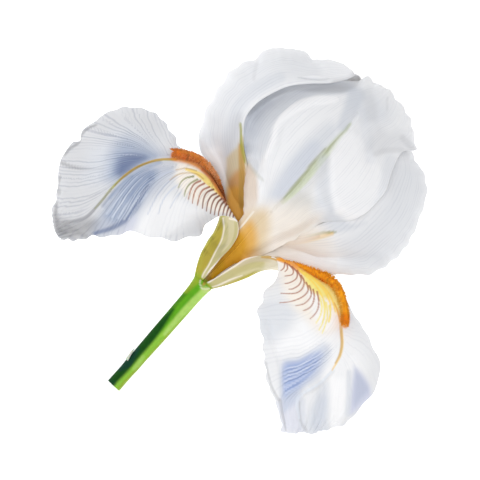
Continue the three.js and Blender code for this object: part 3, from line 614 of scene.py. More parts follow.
rightFall = {
    "outside": -1,
    "mesh": (288, 168),
    "ribs": [
        [0.4, 0.5, 3.6, 0.4, -2.2, 2.0, 0.4, -2.0, -1.9],
        [6, -1.4, 5.2, 6, -5.8, 3.4, 6, -5.4, -2.4],
        [13, -3.0, 7.6, 13, -9.2, 5.4, 13, -9.0, -2.8],
        [19.5, -5.0, 10, 19.5, -11.8, 7.8, 19.5, -11.6, -2.6],
        [25.4, -10, 12.8, 25.8, -16.2, 10.6, 24, -17, -2.2],
        [26.4, -14.4, 16, 29.6, -21.4, 14, 24.8, -21.6, -1.6],
        [22.4, -18.8, 20.4, 33, -28.2, 18, 25.4, -26.4, -0.6],
        [14.6, -20.8, 25.4, 34.6, -35.4, 22.2, 25, -32, 1],
        [7.2, -22.4, 29, 33, -43, 26.2, 25, -40.6, 3],
        [3.6, -27.6, 30.4, 30, -47.6, 28.2, 27, -47.6, 5],
        [-0.6, -33.4, 30.8, 24.8, -52, 30, 29.8, -55.4, 7.4],
        [-5.4, -39.2, 30, 17.6, -56.8, 31, 29.6, -63.8, 9],
        [-11, -45.4, 28.8, 9, -61.2, 30, 24.4, -71.4, 10],
        [-14.8, -51.8, 27.2, -0.4, -65.4, 28, 16, -78.2, 10.6],
        [-18, -58.6, 25.4, -8.6, -69.6, 26, 6.4, -79.2, 12.6],
        [-20.6, -62.8, 24, -15, -71.4, 24.4, -4, -76.8, 16.6],
    ],
    "wave": {"height": 1.3, "waves": 6, "phase": 2.1},
    "nudges": [
        ((280, 262), (0, -3), 10), ((292, 265), (0, -3), 10), ((303, 268), (0, -1), 8),
        ((268, 294), (-4, -1), 12), ((261, 310), (-2, 0), 10), ((263, 330), (-2, 0), 12), ((267, 348), (-4, 0), 12),
        ((269, 362), (-4, 0), 10), ((271, 378), (-3, 0), 10), ((275, 392), (-2, 0), 10), ((285, 430), (-4, 1), 8),
        ((303, 434), (0, -3), 10), ((342, 424), (2, 3), 8), ((320, 434), (0, -2), 8),
    ],
    "folds": [
        (-0.9, 1.5, 5, [(322, 382), (322, 402), (318, 424)]),
        (-0.8, 1.5, 5, [(352, 362), (346, 390), (338, 416)]),
        (-0.7, 1.5, 5, [(305, 392), (302, 410), (298, 428)]),
        (-0.7, 0.8, 3, [(268, 322), (274, 345), (281, 366), (283, 396), (288, 426)]),
        (-0.5, 1.5, 6, [(262, 330), (280, 322), (300, 326)]),
    ],
    "drops": [
        (-5.5, None, 22, [(302, 250), (330, 258), (358, 286), (360, 330), (337, 332), (318, 312), (304, 290)]),
    ],
    "flow": [
        [(292, 266), (290, 274), (282, 280), (270, 284)],
        [(299, 272), (300, 282), (292, 289), (280, 291), (262, 294)],
        [(307, 284), (304, 294), (294, 299), (278, 300), (256, 304)],
        [(315, 292), (311, 306), (299, 313), (282, 314), (256, 316)],
        [(325, 299), (320, 313), (307, 322), (292, 326), (276, 328), (256, 328)],
        [(332, 308), (325, 322), (313, 333), (298, 340), (280, 343), (258, 344)],
        [(337, 318), (330, 331), (318, 343), (304, 350), (288, 354), (260, 359)],
        [(341, 328), (335, 339), (324, 349), (312, 357), (300, 362), (286, 366), (264, 376)],
        [(342, 338), (335, 349), (325, 359), (313, 366), (300, 372), (286, 377), (268, 392)],
        [(341, 348), (334, 358), (324, 368), (312, 376), (300, 383), (287, 389), (274, 412)],
        [(339, 358), (330, 368), (318, 379), (304, 388), (291, 397), (284, 412), (280, 436)],
        [(334, 369), (320, 382), (305, 392), (298, 402), (298, 416), (304, 436)],
        [(336, 371), (323, 388), (314, 404), (312, 420), (313, 440)],
        [(338, 371), (330, 390), (325, 410), (324, 440)],
        [(340, 369), (338, 390), (337, 410), (335, 440)],
        [(342, 362), (346, 385), (348, 405), (347, 430)],
        [(343, 354), (353, 372), (358, 390), (358, 416)],
        [(344, 346), (360, 360), (369, 378), (372, 404)],
        [(346, 336), (364, 346), (376, 362), (384, 384)],
        [(350, 328), (366, 332), (380, 346), (392, 364)],
    ],
    "perStep": 3.0,
    "dark": (0.12, [
        (0.55, 4, [(284, 362), (304, 354), (324, 342), (334, 350), (322, 370), (302, 388), (286, 402)]),
        (0.06, 6, [(282, 404), (318, 384), (346, 370), (376, 360), (376, 404), (346, 420), (310, 436), (284, 436)]),
    ]),
    "streaks": (0.0, [
        (0.4, 3.5, [(286, 366), (304, 358), (318, 350), (322, 358), (310, 372), (296, 384), (286, 390)]),
    ]),
    "outerPaint": [
        ("haft", 0.97, None, 3, [
            (203, 284), (222, 272), (240, 262), (256, 254), (274, 254), (284, 262), (276, 272), (258, 272),
            (234, 284), (206, 298),
        ]),
        ("haftShade", 0.7, 1.6, 3, [(206, 288), (224, 277.5), (240, 269.5), (254, 264.5), (262, 264)]),
        ("tan", 0.7, 1.4, 3, [(240, 263.5), (250, 259.5), (262, 258.5), (272, 260)]),
        ("leafOlive", 0.9, None, 2.2, [
            (196, 302), (203, 290), (215, 288), (231, 281.5), (246, 274.5), (256, 271), (260, 272), (246, 282),
            (226, 292), (208, 300),
        ]),
        ("stemGreen", 0.9, None, 5, [(186, 304), (190, 284), (203, 280), (212, 289), (214, 296), (200, 306)]),
        ("cream", 0.6, 0.3, 0.9, [(202, 288.5, 0.4), (215, 286, 0.4), (231, 279, 0.3), (242, 275, 0)]),
        ("cream", 0.7, 0.4, 1.0, [
            (204, 285, 0.5), (220, 275, 0.5), (234, 266.5, 0.5), (246, 259, 0.4), (257, 256, 0),
        ]),
        ("paleTan", 0.7, None, 4, [(268, 262), (276, 258), (290, 264), (286, 276), (272, 276), (264, 268)]),
        ("goldBrown", 0.8, 0.6, 1.2, [(262, 257, 0.3), (272, 257.5, 0.9), (282, 261, 1.0), (290, 264, 0.6)]),
    ],
    "innerPaint": [
        # painted shade and light: a grey ground over the blade, a lighter patch where it is brightest, a grey patch
        # at its upper left and a grey-lilac band along its left margin
        ("shade", 0.5, None, 10, [(240, 240), (400, 240), (400, 450), (240, 450)]),
        ("white", 0.6, None, 12, [
            (300, 318), (330, 320), (356, 340), (366, 366), (348, 384), (334, 410), (322, 380), (300, 352),
            (276, 350),
        ]),
        ("coolGrey", 0.6, None, 8, [(258, 338), (258, 312), (270, 300), (292, 308), (290, 326), (272, 340)]),
        ("lilac", 0.5, None, 7, [(282, 432), (278, 406), (286, 396), (300, 398), (304, 414), (300, 432)]),
        ("blueGrey", 0.7, None, 5, [
            (282, 404), (282, 364), (298, 360), (322, 344), (330, 352), (320, 376), (304, 388), (290, 402),
        ]),
        ("blue", 0.9, None, 5, [
            (285, 398), (284, 366), (300, 360), (314, 353), (322, 354), (316, 370), (304, 382), (290, 396),
        ]),
        ("blue", 0.6, None, 5, [(286, 396), (286, 374), (300, 366), (316, 362), (302, 382)]),
        ("blueGrey", 0.8, None, 4, [(283, 396), (296, 390), (300, 398), (288, 410), (283, 412)]),
        *strokes(
            "paleBlue", 0.4, 0.4, 0.9,
            [(285, 375), (298, 368), (310, 358), (322, 346)], [(285, 381), (299, 373.5), (312, 363), (324, 350)],
        ),
        *strokes(
            "paleBlue", 0.4, 0.4, 0.9,
            [(285, 387), (300, 379), (313, 368), (325, 354)], [(286, 393), (301, 384.5), (313, 374), (326, 360)],
        ),
        # painted shade: a lilac-grey patch where the blade turns away at its right
        ("lilac", 0.9, None, 4, [
            (354, 366), (362, 374), (370, 388), (370, 400), (360, 408), (349, 414), (350, 396),
        ]),
        ("slate", 0.35, None, 4, [(355, 370), (364, 380), (368, 390), (360, 400), (353, 404)]),
        # painted shade in the folds near the tip, with a painted highlight on the ridge between two of them
        ("coolGrey", 0.8, None, 5, [
            (322, 382), (328, 384), (328, 404), (326, 432), (308, 432), (308, 414), (314, 400),
        ]),
        ("blueGrey", 0.35, None, 5, [(320, 396), (327, 398), (325, 414), (316, 428), (312, 420)]),
        ("white", 0.8, None, 5, [(332, 378), (344, 380), (345, 400), (340, 422), (331, 426), (331, 400)]),
        ("coolGrey", 0.6, 1.0, 3, [(348.5, 372, 1), (348.5, 396, 1.2), (347, 414, 1)]),
        ("coolGrey", 0.6, 1.6, 4, [(302, 400, 1), (301, 412, 2), (304, 428, 2)]),
        *strokes(
            "shadow", 0.4, 0.8, 1.4,
            [(280, 400), (282, 412), (286, 430)], [(279, 400), (271, 384), (266, 362)],
        ),
        *strokes("shadow", 0.35, 0.6, 2.0, [(306, 430), (301, 421), (299, 410), (299, 402)]),
        ("paleBlue", 0.6, 0.6, 1.0, [
            (333, 369, 0.6), (322, 381, 1), (312, 388, 1), (303, 393, 1), (298, 398, 1), (297, 406, 1),
            (299, 418, 0.6),
        ]),
        ("darkGrey", 0.15, 0.5, 1.4, [(334, 371, 0.4), (323, 383, 1), (313, 390, 1), (304, 395, 0.6)]),
        ("paleGold", 0.8, 0.3, 0.9, [
            (340, 321, 1.1), (341.5, 335, 1.1), (342, 345, 1.0), (340, 355, 0.9), (336, 363, 0.7),
            (332, 369.5, 0.3),
        ]),
        ("goldBrown", 0.6, 0.1, 0.7, [
            (340, 321, 1.1), (340.8, 335, 1.1), (341.2, 345, 1.0), (339.2, 355, 0.9), (335, 363, 0.5),
        ]),
        ("cream", 0.9, None, 7, [
            (278, 258), (310, 270), (334, 292), (340, 322), (322, 334), (306, 320), (288, 300), (282, 280),
        ]),
        ("goldBrown", 0.8, 1.5, 2.5, [(268, 256), (278, 258), (288, 262)]),
        ("orange", 0.9, None, 1.2, [
            (282, 258), (296, 261), (316, 268), (336, 284), (348, 306), (348, 326), (341.5, 326), (341, 306),
            (335, 293), (322, 284), (304, 276), (290, 266), (276, 260),
        ]),
        ("white", 0.7, None, 4, [(306, 288), (330, 300), (336, 322), (324, 330), (312, 312)]),
        ("yellow", 0.6, None, 3, [(298, 268), (314, 279), (330, 291), (328, 300), (316, 294), (306, 284)]),
        ("lemon", 0.85, None, 2.4, [
            (304, 273), (314, 279), (333, 284), (340, 300), (338, 314), (334, 308), (328, 299), (316, 294),
            (306, 284),
        ]),
        *strokes(
            "yellow", 0.85, 0.5, 1.0,
            [(300, 271), (312, 282), (320, 293), (325, 307), (322, 324)],
            [(305, 273), (317, 283), (326, 294), (330.5, 308), (328, 322)],
            [(310, 276), (322, 286), (331, 298), (335, 312)],
        ),
        *strokes(
            "arcRust", 0.85, 0.55, 0.7,
            [(285, 263), (284, 268), (281, 271)], [(287, 264), (287.5, 269), (285, 272)],
            [(289, 265), (293, 270), (292, 275), (285, 276.5)],
            [(292, 267), (297, 273), (296, 279), (290, 283), (285, 284)],
            [(297, 271), (301, 279), (299, 285), (293, 289), (289, 289.5)],
            [(301, 276), (304, 282), (302, 289), (297, 293), (291, 294), (281, 293.5)],
            [(306, 283), (308, 289), (306, 294), (300, 298.5), (290, 302), (280, 303)],
            [(309, 286), (311, 292), (310, 298), (304, 304), (296, 306)],
            [(313, 290), (314, 298), (312, 305), (308, 309), (303, 311)],
            [(317, 292), (318.5, 300), (318, 308), (315, 314), (310, 319)],
        ),
        *strokes(
            "lemon", 0.9, 0.7, 0.8,
            [(320, 298), (321.5, 308), (320, 316), (316, 323)], [(323, 300), (324.4, 311), (323, 321), (319, 330)],
            [(326, 303), (327.2, 315), (325, 325), (322, 333)], [(329, 306), (330.2, 315), (329, 322)],
        ),
        ("amber", 0.8, 0.3, 0.8, [(334, 303, 0.1), (336.5, 309, 0.4), (338.5, 315, 0.8), (340, 322, 1)]),
    ],
}


def lying(x, y, height):  # a point this far above the table
    return [x, y, tableAt(x) + height]


underFall = {
    "outside": 1,
    "mesh": (90, 50),
    "ribs": [
        [0.4, 3.6, -2.8, 0.4, 1.2, -4.1, 0.4, -1.2, -2.8],
        [6, 4.8, -4.6, 6, 1.2, -6.6, 6, -2.4, -4.6],
        [12, 5.8, -8.4, 12, 1.2, -11, 12, -3.4, -8.4],
        [18, 7.2, -14.6, 18, 1.2, -18, 18, -4.8, -14.6],
        [25, 10, -22.6, 24, 1.2, -26.4, 25, -7.6, -22.6],
        [33.5, 15, -31.6, 31, 1, -34.4, 33.5, -13, -31.6],
        [42.5, 22, -38.8, 40, 0.8, -40.4, 42.5, -20.6, -38.8],
        [*lying(52.5, 26.6, 2.4), *lying(51, 0.5, 0.3), *lying(52.5, -25.6, 2.4)],
        [*lying(63, 27.8, 2.2), *lying(63, 0, 0.25), *lying(63, -27.8, 2.2)],
        [*lying(74, 25, 2.3), *lying(75, 0, 0.3), *lying(74, -25, 2.3)],
        [*lying(83, 18.4, 3.0), *lying(86, 0, 1.8), *lying(83, -18.4, 3.0)],
        [*lying(89, 9, 4.0), *lying(94, 0, 4.0), *lying(89, -9, 4.0)],
    ],
    "wave": {"height": 0.9, "waves": 7, "phase": 1.2, "start": 0.4},
}

# Where both standards meet over the throat.
throatPaint = [
    ("cream", 0.9, None, 14, [
        (205, 284), (232, 232), (256, 205), (285, 212), (322, 228), (300, 252), (262, 262), (225, 282),
    ]),
    ("sand", 0.85, None, 8, [
        (205, 286), (236, 228), (250, 212), (266, 210), (270, 226), (266, 246), (258, 264), (228, 278),
    ]),
    ("amber", 0.9, None, 6, [
        (205, 286), (230, 240), (241, 227), (252, 221), (257, 234), (256, 248), (247, 262), (226, 277),
    ]),
    ("gold", 0.95, None, 4, [
        (204, 287), (222, 256), (235, 238), (243, 233), (247, 244), (244, 256), (235, 268), (218, 280),
    ]),
    ("oliveGold", 0.85, None, 3, [(204, 286), (213, 268), (222, 259), (224, 270), (213, 283)]),
    ("darkOlive", 0.7, 1.2, 3, [(205, 284, 1.5), (209, 279, 1.5)]),
    ("cream", 0.8, 0.5, 0.9, [(239.4, 228.8), (245, 222.5), (251.3, 214.4), (253.8, 211.3)]),
]

frontStandard = {
    "outside": 1,
    "dome": True,
    "ribs": [
        [0.4, 2.0, 0, 38, 38, 0, 0, 0, 0],
        [8, 3.0, 2, 46, 42, 0, 0, 0, 0],
        [14, 4.8, 2, 46, 42, 0, 0, 0, 0],
        [20, 7.9, 2, 38, 38, 0, 0, 0, 0],
        [26, 13, 3, 30, 28, 0, 0, 0, 0],
        [31, 18.6, 3, 28, 21, 0.5, 0, 0, 0],
        [37, 25.6, 2, 30, 20, 0.5, 1, 0, -1],
        [43, 32, 2, 31, 26, 0.5, 2, 0, -2],
        [50, 37.2, 2, 30, 42, 1, 2, 0, -2],
        [58, 40.4, 2, 40, 54, 1, 0, 0, -2],
        [67, 41.6, 2, 44, 57, 1, -1, 0, -2],
        [76, 40.8, 2, 43, 57, 0, -1, 0, -2],
        [85, 37.4, 2, 40, 56, 0, -1, -0.5, -2],
        [93, 31.6, 1, 46, 54, 0, -2, -1, -2],
        [100, 24, -2, 62, 48, -3.5, -3, 2, -1],
        [106.5, 12.5, -4, 74, 46, -6, -4, 8, 0],
    ],
    "wave": {"height": 0.8, "waves": 5, "phase": 0.6, "start": 0.5},
    "ruffle": {"height": 0.1, "waves": 13, "phase": 0.6},
    "nudges": [
        ((242, 258), (2, 3), 10), ((250, 254), (3, 5), 11), ((260, 248), (4, 8), 13), ((270, 243), (4, 9), 13),
        ((280, 240), (4, 6), 12), ((292, 237), (2, 4), 10),
        ((247, 122), (-4, 0), 14), ((248, 140), (-7, 0), 14), ((252, 156), (-8, 1), 12), ((253, 168), (-7, 0), 9),
        ((256, 178), (-10, 0), 11),
        ((257, 188), (-12, 0), 13), ((254, 198), (-9, 0), 12), ((250, 207), (-5, 1), 10), ((366, 84), (2, -7), 9),
        ((378, 86), (1, -1), 8), ((391, 91), (2, -2), 10),
        ((401, 107), (3, -1), 10), ((406, 120), (4, -1), 10), ((408, 132), (3, 0), 8), ((413, 150), (4, 1), 8),
    ],
    "folds": [
        (-1.2, None, 7, [
            (240, 170), (242, 114), (258, 92), (280, 80), (318, 76), (350, 82), (352, 90), (335, 93), (316, 94),
            (297, 99), (284, 108), (272, 123), (266, 140), (256, 166),
        ]),
        (1.0, 1.5, 6, [(268, 158), (274, 140), (280, 122), (294, 110), (312, 101), (334, 98)]),
        (-0.8, 0.6, 2.4, [
            (272, 211), (285, 199), (300, 183.5), (317, 162.5), (333, 143.5), (347, 129), (357, 114),
        ]),
        (0.6, 2, 8, [(282, 208), (297, 190), (312, 172), (328, 152)]),
        (-0.5, None, 9, [
            (368, 150), (372, 136), (382, 128), (398, 131), (408, 139), (416, 150), (402, 152), (390, 149),
        ]),
        (-0.6, 1.0, 7, [(328, 150), (327, 178), (330, 198), (340, 212)]),
        (-0.5, 1.0, 7, [(360, 128), (364, 148), (370, 166)]),
        (-0.5, 1.0, 7, [(364, 90), (374, 108), (378, 124)]),
        (-0.4, 1.0, 6, [(384, 98), (390, 112), (392, 124)]),
    ],
    "drops": [
        (-3.8, None, 9, [
            (266, 254), (276, 244), (290, 236), (304, 229), (316, 219), (340, 214), (356, 226), (330, 246),
            (286, 262),
        ]),
    ],
    # under the left standard's margin, and along its own lower margin
    "levels": [
        (
            [
                (245, 165, 25.2), (243, 148, 27.6), (243, 132, 29.0), (246, 117, 29.8), (258, 101, 30.6),
                (274, 91, 29.8), (290, 85, 30.0), (305, 83, 29.6), (319, 83, 27.4), (335, 83, 24.2),
                (346, 80, 22.2), (358, 74, 20.8),
            ],
            0.9, False, 6,
            [
                (226, 96), (262, 66), (300, 60), (362, 60), (362, 76), (356, 84), (346, 87), (318, 86), (300, 87),
                (282, 92), (266, 100), (252, 112), (247, 124), (246, 140), (246, 158), (240, 170), (226, 166),
            ],
        ),
        (
            [
                (250, 256, 7.2), (258, 253, 8.8), (262, 251, 10), (268, 248, 11.4), (276, 244, 14.3),
                (284, 241, 17), (292, 239, 19.2), (300, 236, 21.9), (308, 232, 24.5), (316, 227, 26.8),
            ],
            0.95, False, 5,
            [
                (246, 264), (246, 254), (258, 247), (270, 241), (284, 236), (298, 230), (314, 221), (322, 228),
                (308, 240), (290, 248), (272, 256),
            ],
        ),
    ],
    "outerPaint": [
        # painted shade in the hollow under the left standard, a painted highlight on its bright fold, and painted
        # shade between the fold and the midrib and below the midrib's lower end
        ("coolGrey", 0.6, None, 3, [
            (238, 140), (241, 118), (250, 104), (264, 92), (280, 83), (300, 78), (346, 82), (354, 92), (335, 95.5),
            (316, 96.5), (299, 102), (286, 111.5), (274, 124), (270, 140), (262, 160), (257, 172), (248, 160),
        ]),
        ("blueGrey", 0.2, None, 8, [
            (240, 140), (243, 118), (252, 106), (266, 96), (272, 104), (264, 118), (260, 140), (252, 158),
        ]),
        ("shadow", 0.45, 2.0, 5, [
            (248, 112, 1), (264, 98, 3), (278, 90, 3.5), (296, 85, 4), (318, 87, 3.5), (340, 88, 3), (352, 84, 3),
        ]),
        ("white", 0.95, 1.6, 2.0, [
            (266, 158, 0.6), (273, 142, 1), (278, 124, 1.4), (289, 112.5, 3), (302, 105, 4), (318, 101, 4),
            (336, 100, 2),
        ]),
        ("coolGrey", 0.6, 4.0, 16.0, [(272, 206, 1), (284, 188, 4), (298, 168, 5), (314, 148, 3), (330, 132, 0.5)]),
        ("blueGrey", 0.35, 2.0, 12.0, [(280, 194, 1), (290, 180, 3), (302, 164, 3), (314, 148, 1)]),
        ("warmGrey", 0.35, 4.0, 9.0, [(294, 200, 1), (308, 184, 4), (322, 164, 3), (334, 150, 1)]),
        ("warmGrey", 0.8, None, 8, [(266, 228), (282, 203), (298, 192), (314, 200), (306, 224), (288, 238)]),
        # the midrib: a green band, with a darker line on its left that is painted shade along its groove
        ("paleGreen", 0.9, 1.5, 2.6, [
            (283, 202, 0.8), (292, 193, 2), (303, 181, 2.8), (319, 162, 2.8), (335, 143, 2.0), (344, 132, 1),
            (350, 124, 0.2),
        ]),
        ("arcOlive", 0.5, 0.5, 1.0, [
            (281, 201, 0.5), (293, 187.5, 1), (305, 173, 1), (315, 160, 1), (325, 148, 0.5),
        ]),
        ("arcOlive", 0.4, 0.5, 1.0, [(322, 157, 0.4), (330, 147.5, 1), (340, 136, 0.8), (348, 125, 0.3)]),
        # painted shade below the midrib's lower end and above its top end
        ("warmGrey", 0.6, 0.7, 2.4, [(256, 228), (266, 217), (275, 207), (283, 200)]),
        ("coolGrey", 0.7, 2.0, 8.0, [(342, 126, 1), (350, 110, 3), (356, 96, 4)]),
        # the bulge at the right: a painted highlight on it, and painted shade down its left and right sides, in the
        # pleats above it and round its curled margin
        ("coolGrey", 0.45, 3.0, 9.0, [(324, 160, 1), (324, 180, 4), (326, 198, 5), (318, 214, 3)]),
        ("white", 0.9, None, 4, [
            (331, 152), (344, 134), (360, 138), (374, 160), (384, 180), (378, 206), (356, 218), (336, 208),
            (330, 186),
        ]),
        ("coolGrey", 0.3, 1.5, 7.0, [(362, 112, 1), (366, 132, 2), (370, 160, 1)]),
        ("coolGrey", 0.45, None, 10, [
            (350, 84), (372, 92), (388, 106), (390, 120), (374, 126), (358, 116), (346, 102),
        ]),
        ("shadow", 0.14, 1.0, 8.0, [(366, 94, 1), (370, 104, 2), (372, 118, 1)]),
        ("shadow", 0.12, 0.3, 1.6, [(387, 98, 0.6), (386.5, 110, 0.4)]),
        ("grey", 0.3, None, 7, [
            (366, 150), (370, 136), (378, 127), (388, 132), (398, 130), (409, 138), (415, 151), (402, 152),
            (390, 150), (380, 154),
        ]),
        ("shadow", 0.2, 0.8, 3.5, [(376, 154, 1), (384, 151, 1), (400, 150.5, 1), (410, 155, 0.6)]),
        ("shadow", 0.2, 1.0, 4.0, [(402, 138, 1), (409, 145, 1.5), (414, 151, 1)]),
        ("coolGrey", 0.35, 2.0, 8.0, [(390, 160, 2), (388, 178, 3), (382, 198, 2), (372, 216, 2)]),
        ("cream", 0.55, None, 10, [(256, 222), (272, 204), (300, 204), (322, 214), (310, 230), (276, 240)]),
        # painted shade in the gap under its lower right margin
        ("coolGrey", 0.7, None, 4, [(306, 231), (322, 218), (331, 207), (336, 214), (348, 224), (340, 234)]),
        # the pinkish strip along its lower left margin
        ("pinkCream", 0.95, None, 3, [
            (243, 160), (250, 165), (257, 176), (259, 190), (257, 204), (248, 218), (236, 228), (236, 180),
        ]),
        # painted shade along the fold's edge beside the strip, and a painted highlight below it
        ("arcOlive", 0.2, 0.3, 2.0, [(248, 160, 0.6), (251, 167, 1), (257, 174, 1), (263, 180, 0.4)]),
        ("white", 0.6, None, 3, [(258, 178), (264, 184), (264, 196), (260, 204), (258, 190)]),
        *throatPaint,
    ],
}

leftStandard = {
    "outside": 1,
    "dome": True,
    "ribs": [
        [0.4, 2.0, 120, 38, 38, 0, 0, 0, 0],
        [8, 3.0, 118, 42, 42, 0, 0, 0, 0],
        [14, 4.6, 110, 40, 42, 0, 0, 0, 0],
        [20, 6.8, 98, 40, 42, 0, 0, 0, 0],
        [26, 10.8, 82, 46, 46, 0.5, 0, 0, 0],
        [31, 17, 84, 51, 56, 1, 1, 0, 0],
        [35.5, 26, 90, 57, 66, 3, 3, 0, -1],
        [39.5, 36.5, 96, 58, 76, 6.5, 4, -3, -1],
        [45, 43, 101, 58, 82, 7.5, 4, -2, 0],
        [53, 46.6, 104, 57, 85, 6, 3, -1, 0],
        [63, 48.4, 105, 58, 86, 4, 2, -2, 0],
        [73, 48.8, 105, 59, 86, 2, 1, -3, 0],
        [82, 46, 104, 60, 84, 0.5, 0, -2, 0],
        [90, 41, 102, 62, 80, -1, 0, -1.5, 0],
        [96.4, 32.2, 98, 64, 74, -1.5, 0, -1, 0],
        [102.6, 19.5, 90, 60, 66, -1, 0, 6.5, 0],
    ],
    "wave": {"height": 0.9, "waves": 5.5, "phase": 2.2, "start": 0.5},
    "ruffle": {"height": 0.0, "waves": 13, "phase": 0.6},
    "nudges": [
        ((205, 152), (-5, -1), 18), ((205, 135), (-4, 0), 18), ((212, 111), (-4, -1), 18),
        ((224, 92), (-5, -2), 16),
        ((236, 77), (-6, -3), 15), ((247, 66), (-4, -2), 11), ((256, 61), (-1, 1), 6), ((263, 57), (0, -5), 8),
        ((270, 54), (0, -5), 9), ((280, 53), (0, -4), 10), ((292, 52), (0, -3.5), 10), ((302, 53), (1, -3.5), 8),
        ((307, 54), (0, -1), 5), ((312, 56), (0, 5), 6), ((320, 58), (0, 3), 9), ((335, 63), (0, 0), 8),
        ((350, 70), (3, 1), 8), ((358, 78), (2, -2), 8), ((302, 78), (0, 6.5), 36),
        ((245, 162), (1, 0), 12), ((244, 176), (3, 0), 14), ((242, 190), (4, 0), 14), ((241, 204), (5, 0), 12),
        ((239, 216), (4, 2), 9),
    ],
    "levels": [
        (
            [
                (200, 138, 18), (205, 152, 17.5), (213, 165, 17.5), (218, 180, 15.5), (226, 196, 13.5),
                (236, 214, 12),
            ],
            0.85, True, 6,
            [
                (192, 140), (203, 134), (214, 146), (225, 162), (230, 178), (236, 194), (246, 212), (238, 224),
                (222, 208), (212, 190), (204, 172), (194, 156),
            ],
        ),
    ],
    "outerPaint": [
        # painted shade: a light grey over its outer side, deeper along its margin
        ("coolGrey", 0.3, None, 10, [
            (204, 150), (214, 112), (234, 78), (262, 56), (300, 54), (340, 68), (346, 82), (300, 80), (264, 90),
            (244, 108), (238, 130), (226, 160),
        ]),
        ("coolGrey", 0.4, 3.0, 7.0, [(226, 150, 3), (231, 130, 3), (240, 108, 3), (256, 90, 3), (280, 78, 2)]),
        ("shadow", 0.12, 0.3, 2.0, [(258, 62, 0.5), (255, 72, 1), (254, 80, 0.5)]),
        ("shadow", 0.4, 1.5, 5.0, [(336, 84, 2), (350, 82, 3), (356, 76, 2)]),
        # painted light: lighter patches near its top end and left of the claw
        ("white", 0.5, None, 6, [(322, 66), (344, 70), (348, 76), (336, 80), (322, 76)]),
        ("white", 0.6, None, 4, [(204, 150), (222, 148), (225, 176), (223, 196), (212, 190), (206, 168)]),
        # painted shade along its margin above the claw
        ("grey", 0.5, None, 6, [
            (224, 156), (228, 138), (236, 118), (242, 116), (244, 140), (244, 160), (232, 164),
        ]),
        ("khaki", 0.9, None, 2.5, [
            (227, 158), (226.5, 206), (240, 228), (250, 222), (251, 190), (250, 158), (243, 136), (238, 146),
            (232, 152),
        ]),
        ("clay", 0.9, None, 4, [
            (229, 180), (228, 206), (240, 228), (252, 220), (251, 188), (249, 172), (238, 170),
        ]),
        ("amber", 0.9, None, 4, [(229, 188), (228, 210), (240, 228), (252, 218), (248, 194), (238, 186)]),
        ("goldBrown", 0.85, 1.6, 3, [
            (241, 145, 0.6), (242, 158, 1.6), (242.5, 172, 2), (242.5, 188, 2), (242, 206, 1),
        ]),
        ("cream", 0.5, 0.5, 1.2, [(247, 162, 1), (247, 180, 1), (246, 200, 1)]),
        ("olive", 0.8, 0.5, 1.0, [(241, 124, 0.8), (241.5, 138, 1.0), (243, 150, 1.0), (245.5, 162, 0.6)]),
    ],
    "innerPaint": [
        ("clay", 0.8, None, 8, [(205, 285), (232, 215), (240, 170), (256, 170), (260, 205), (235, 255)]),
    ],
}

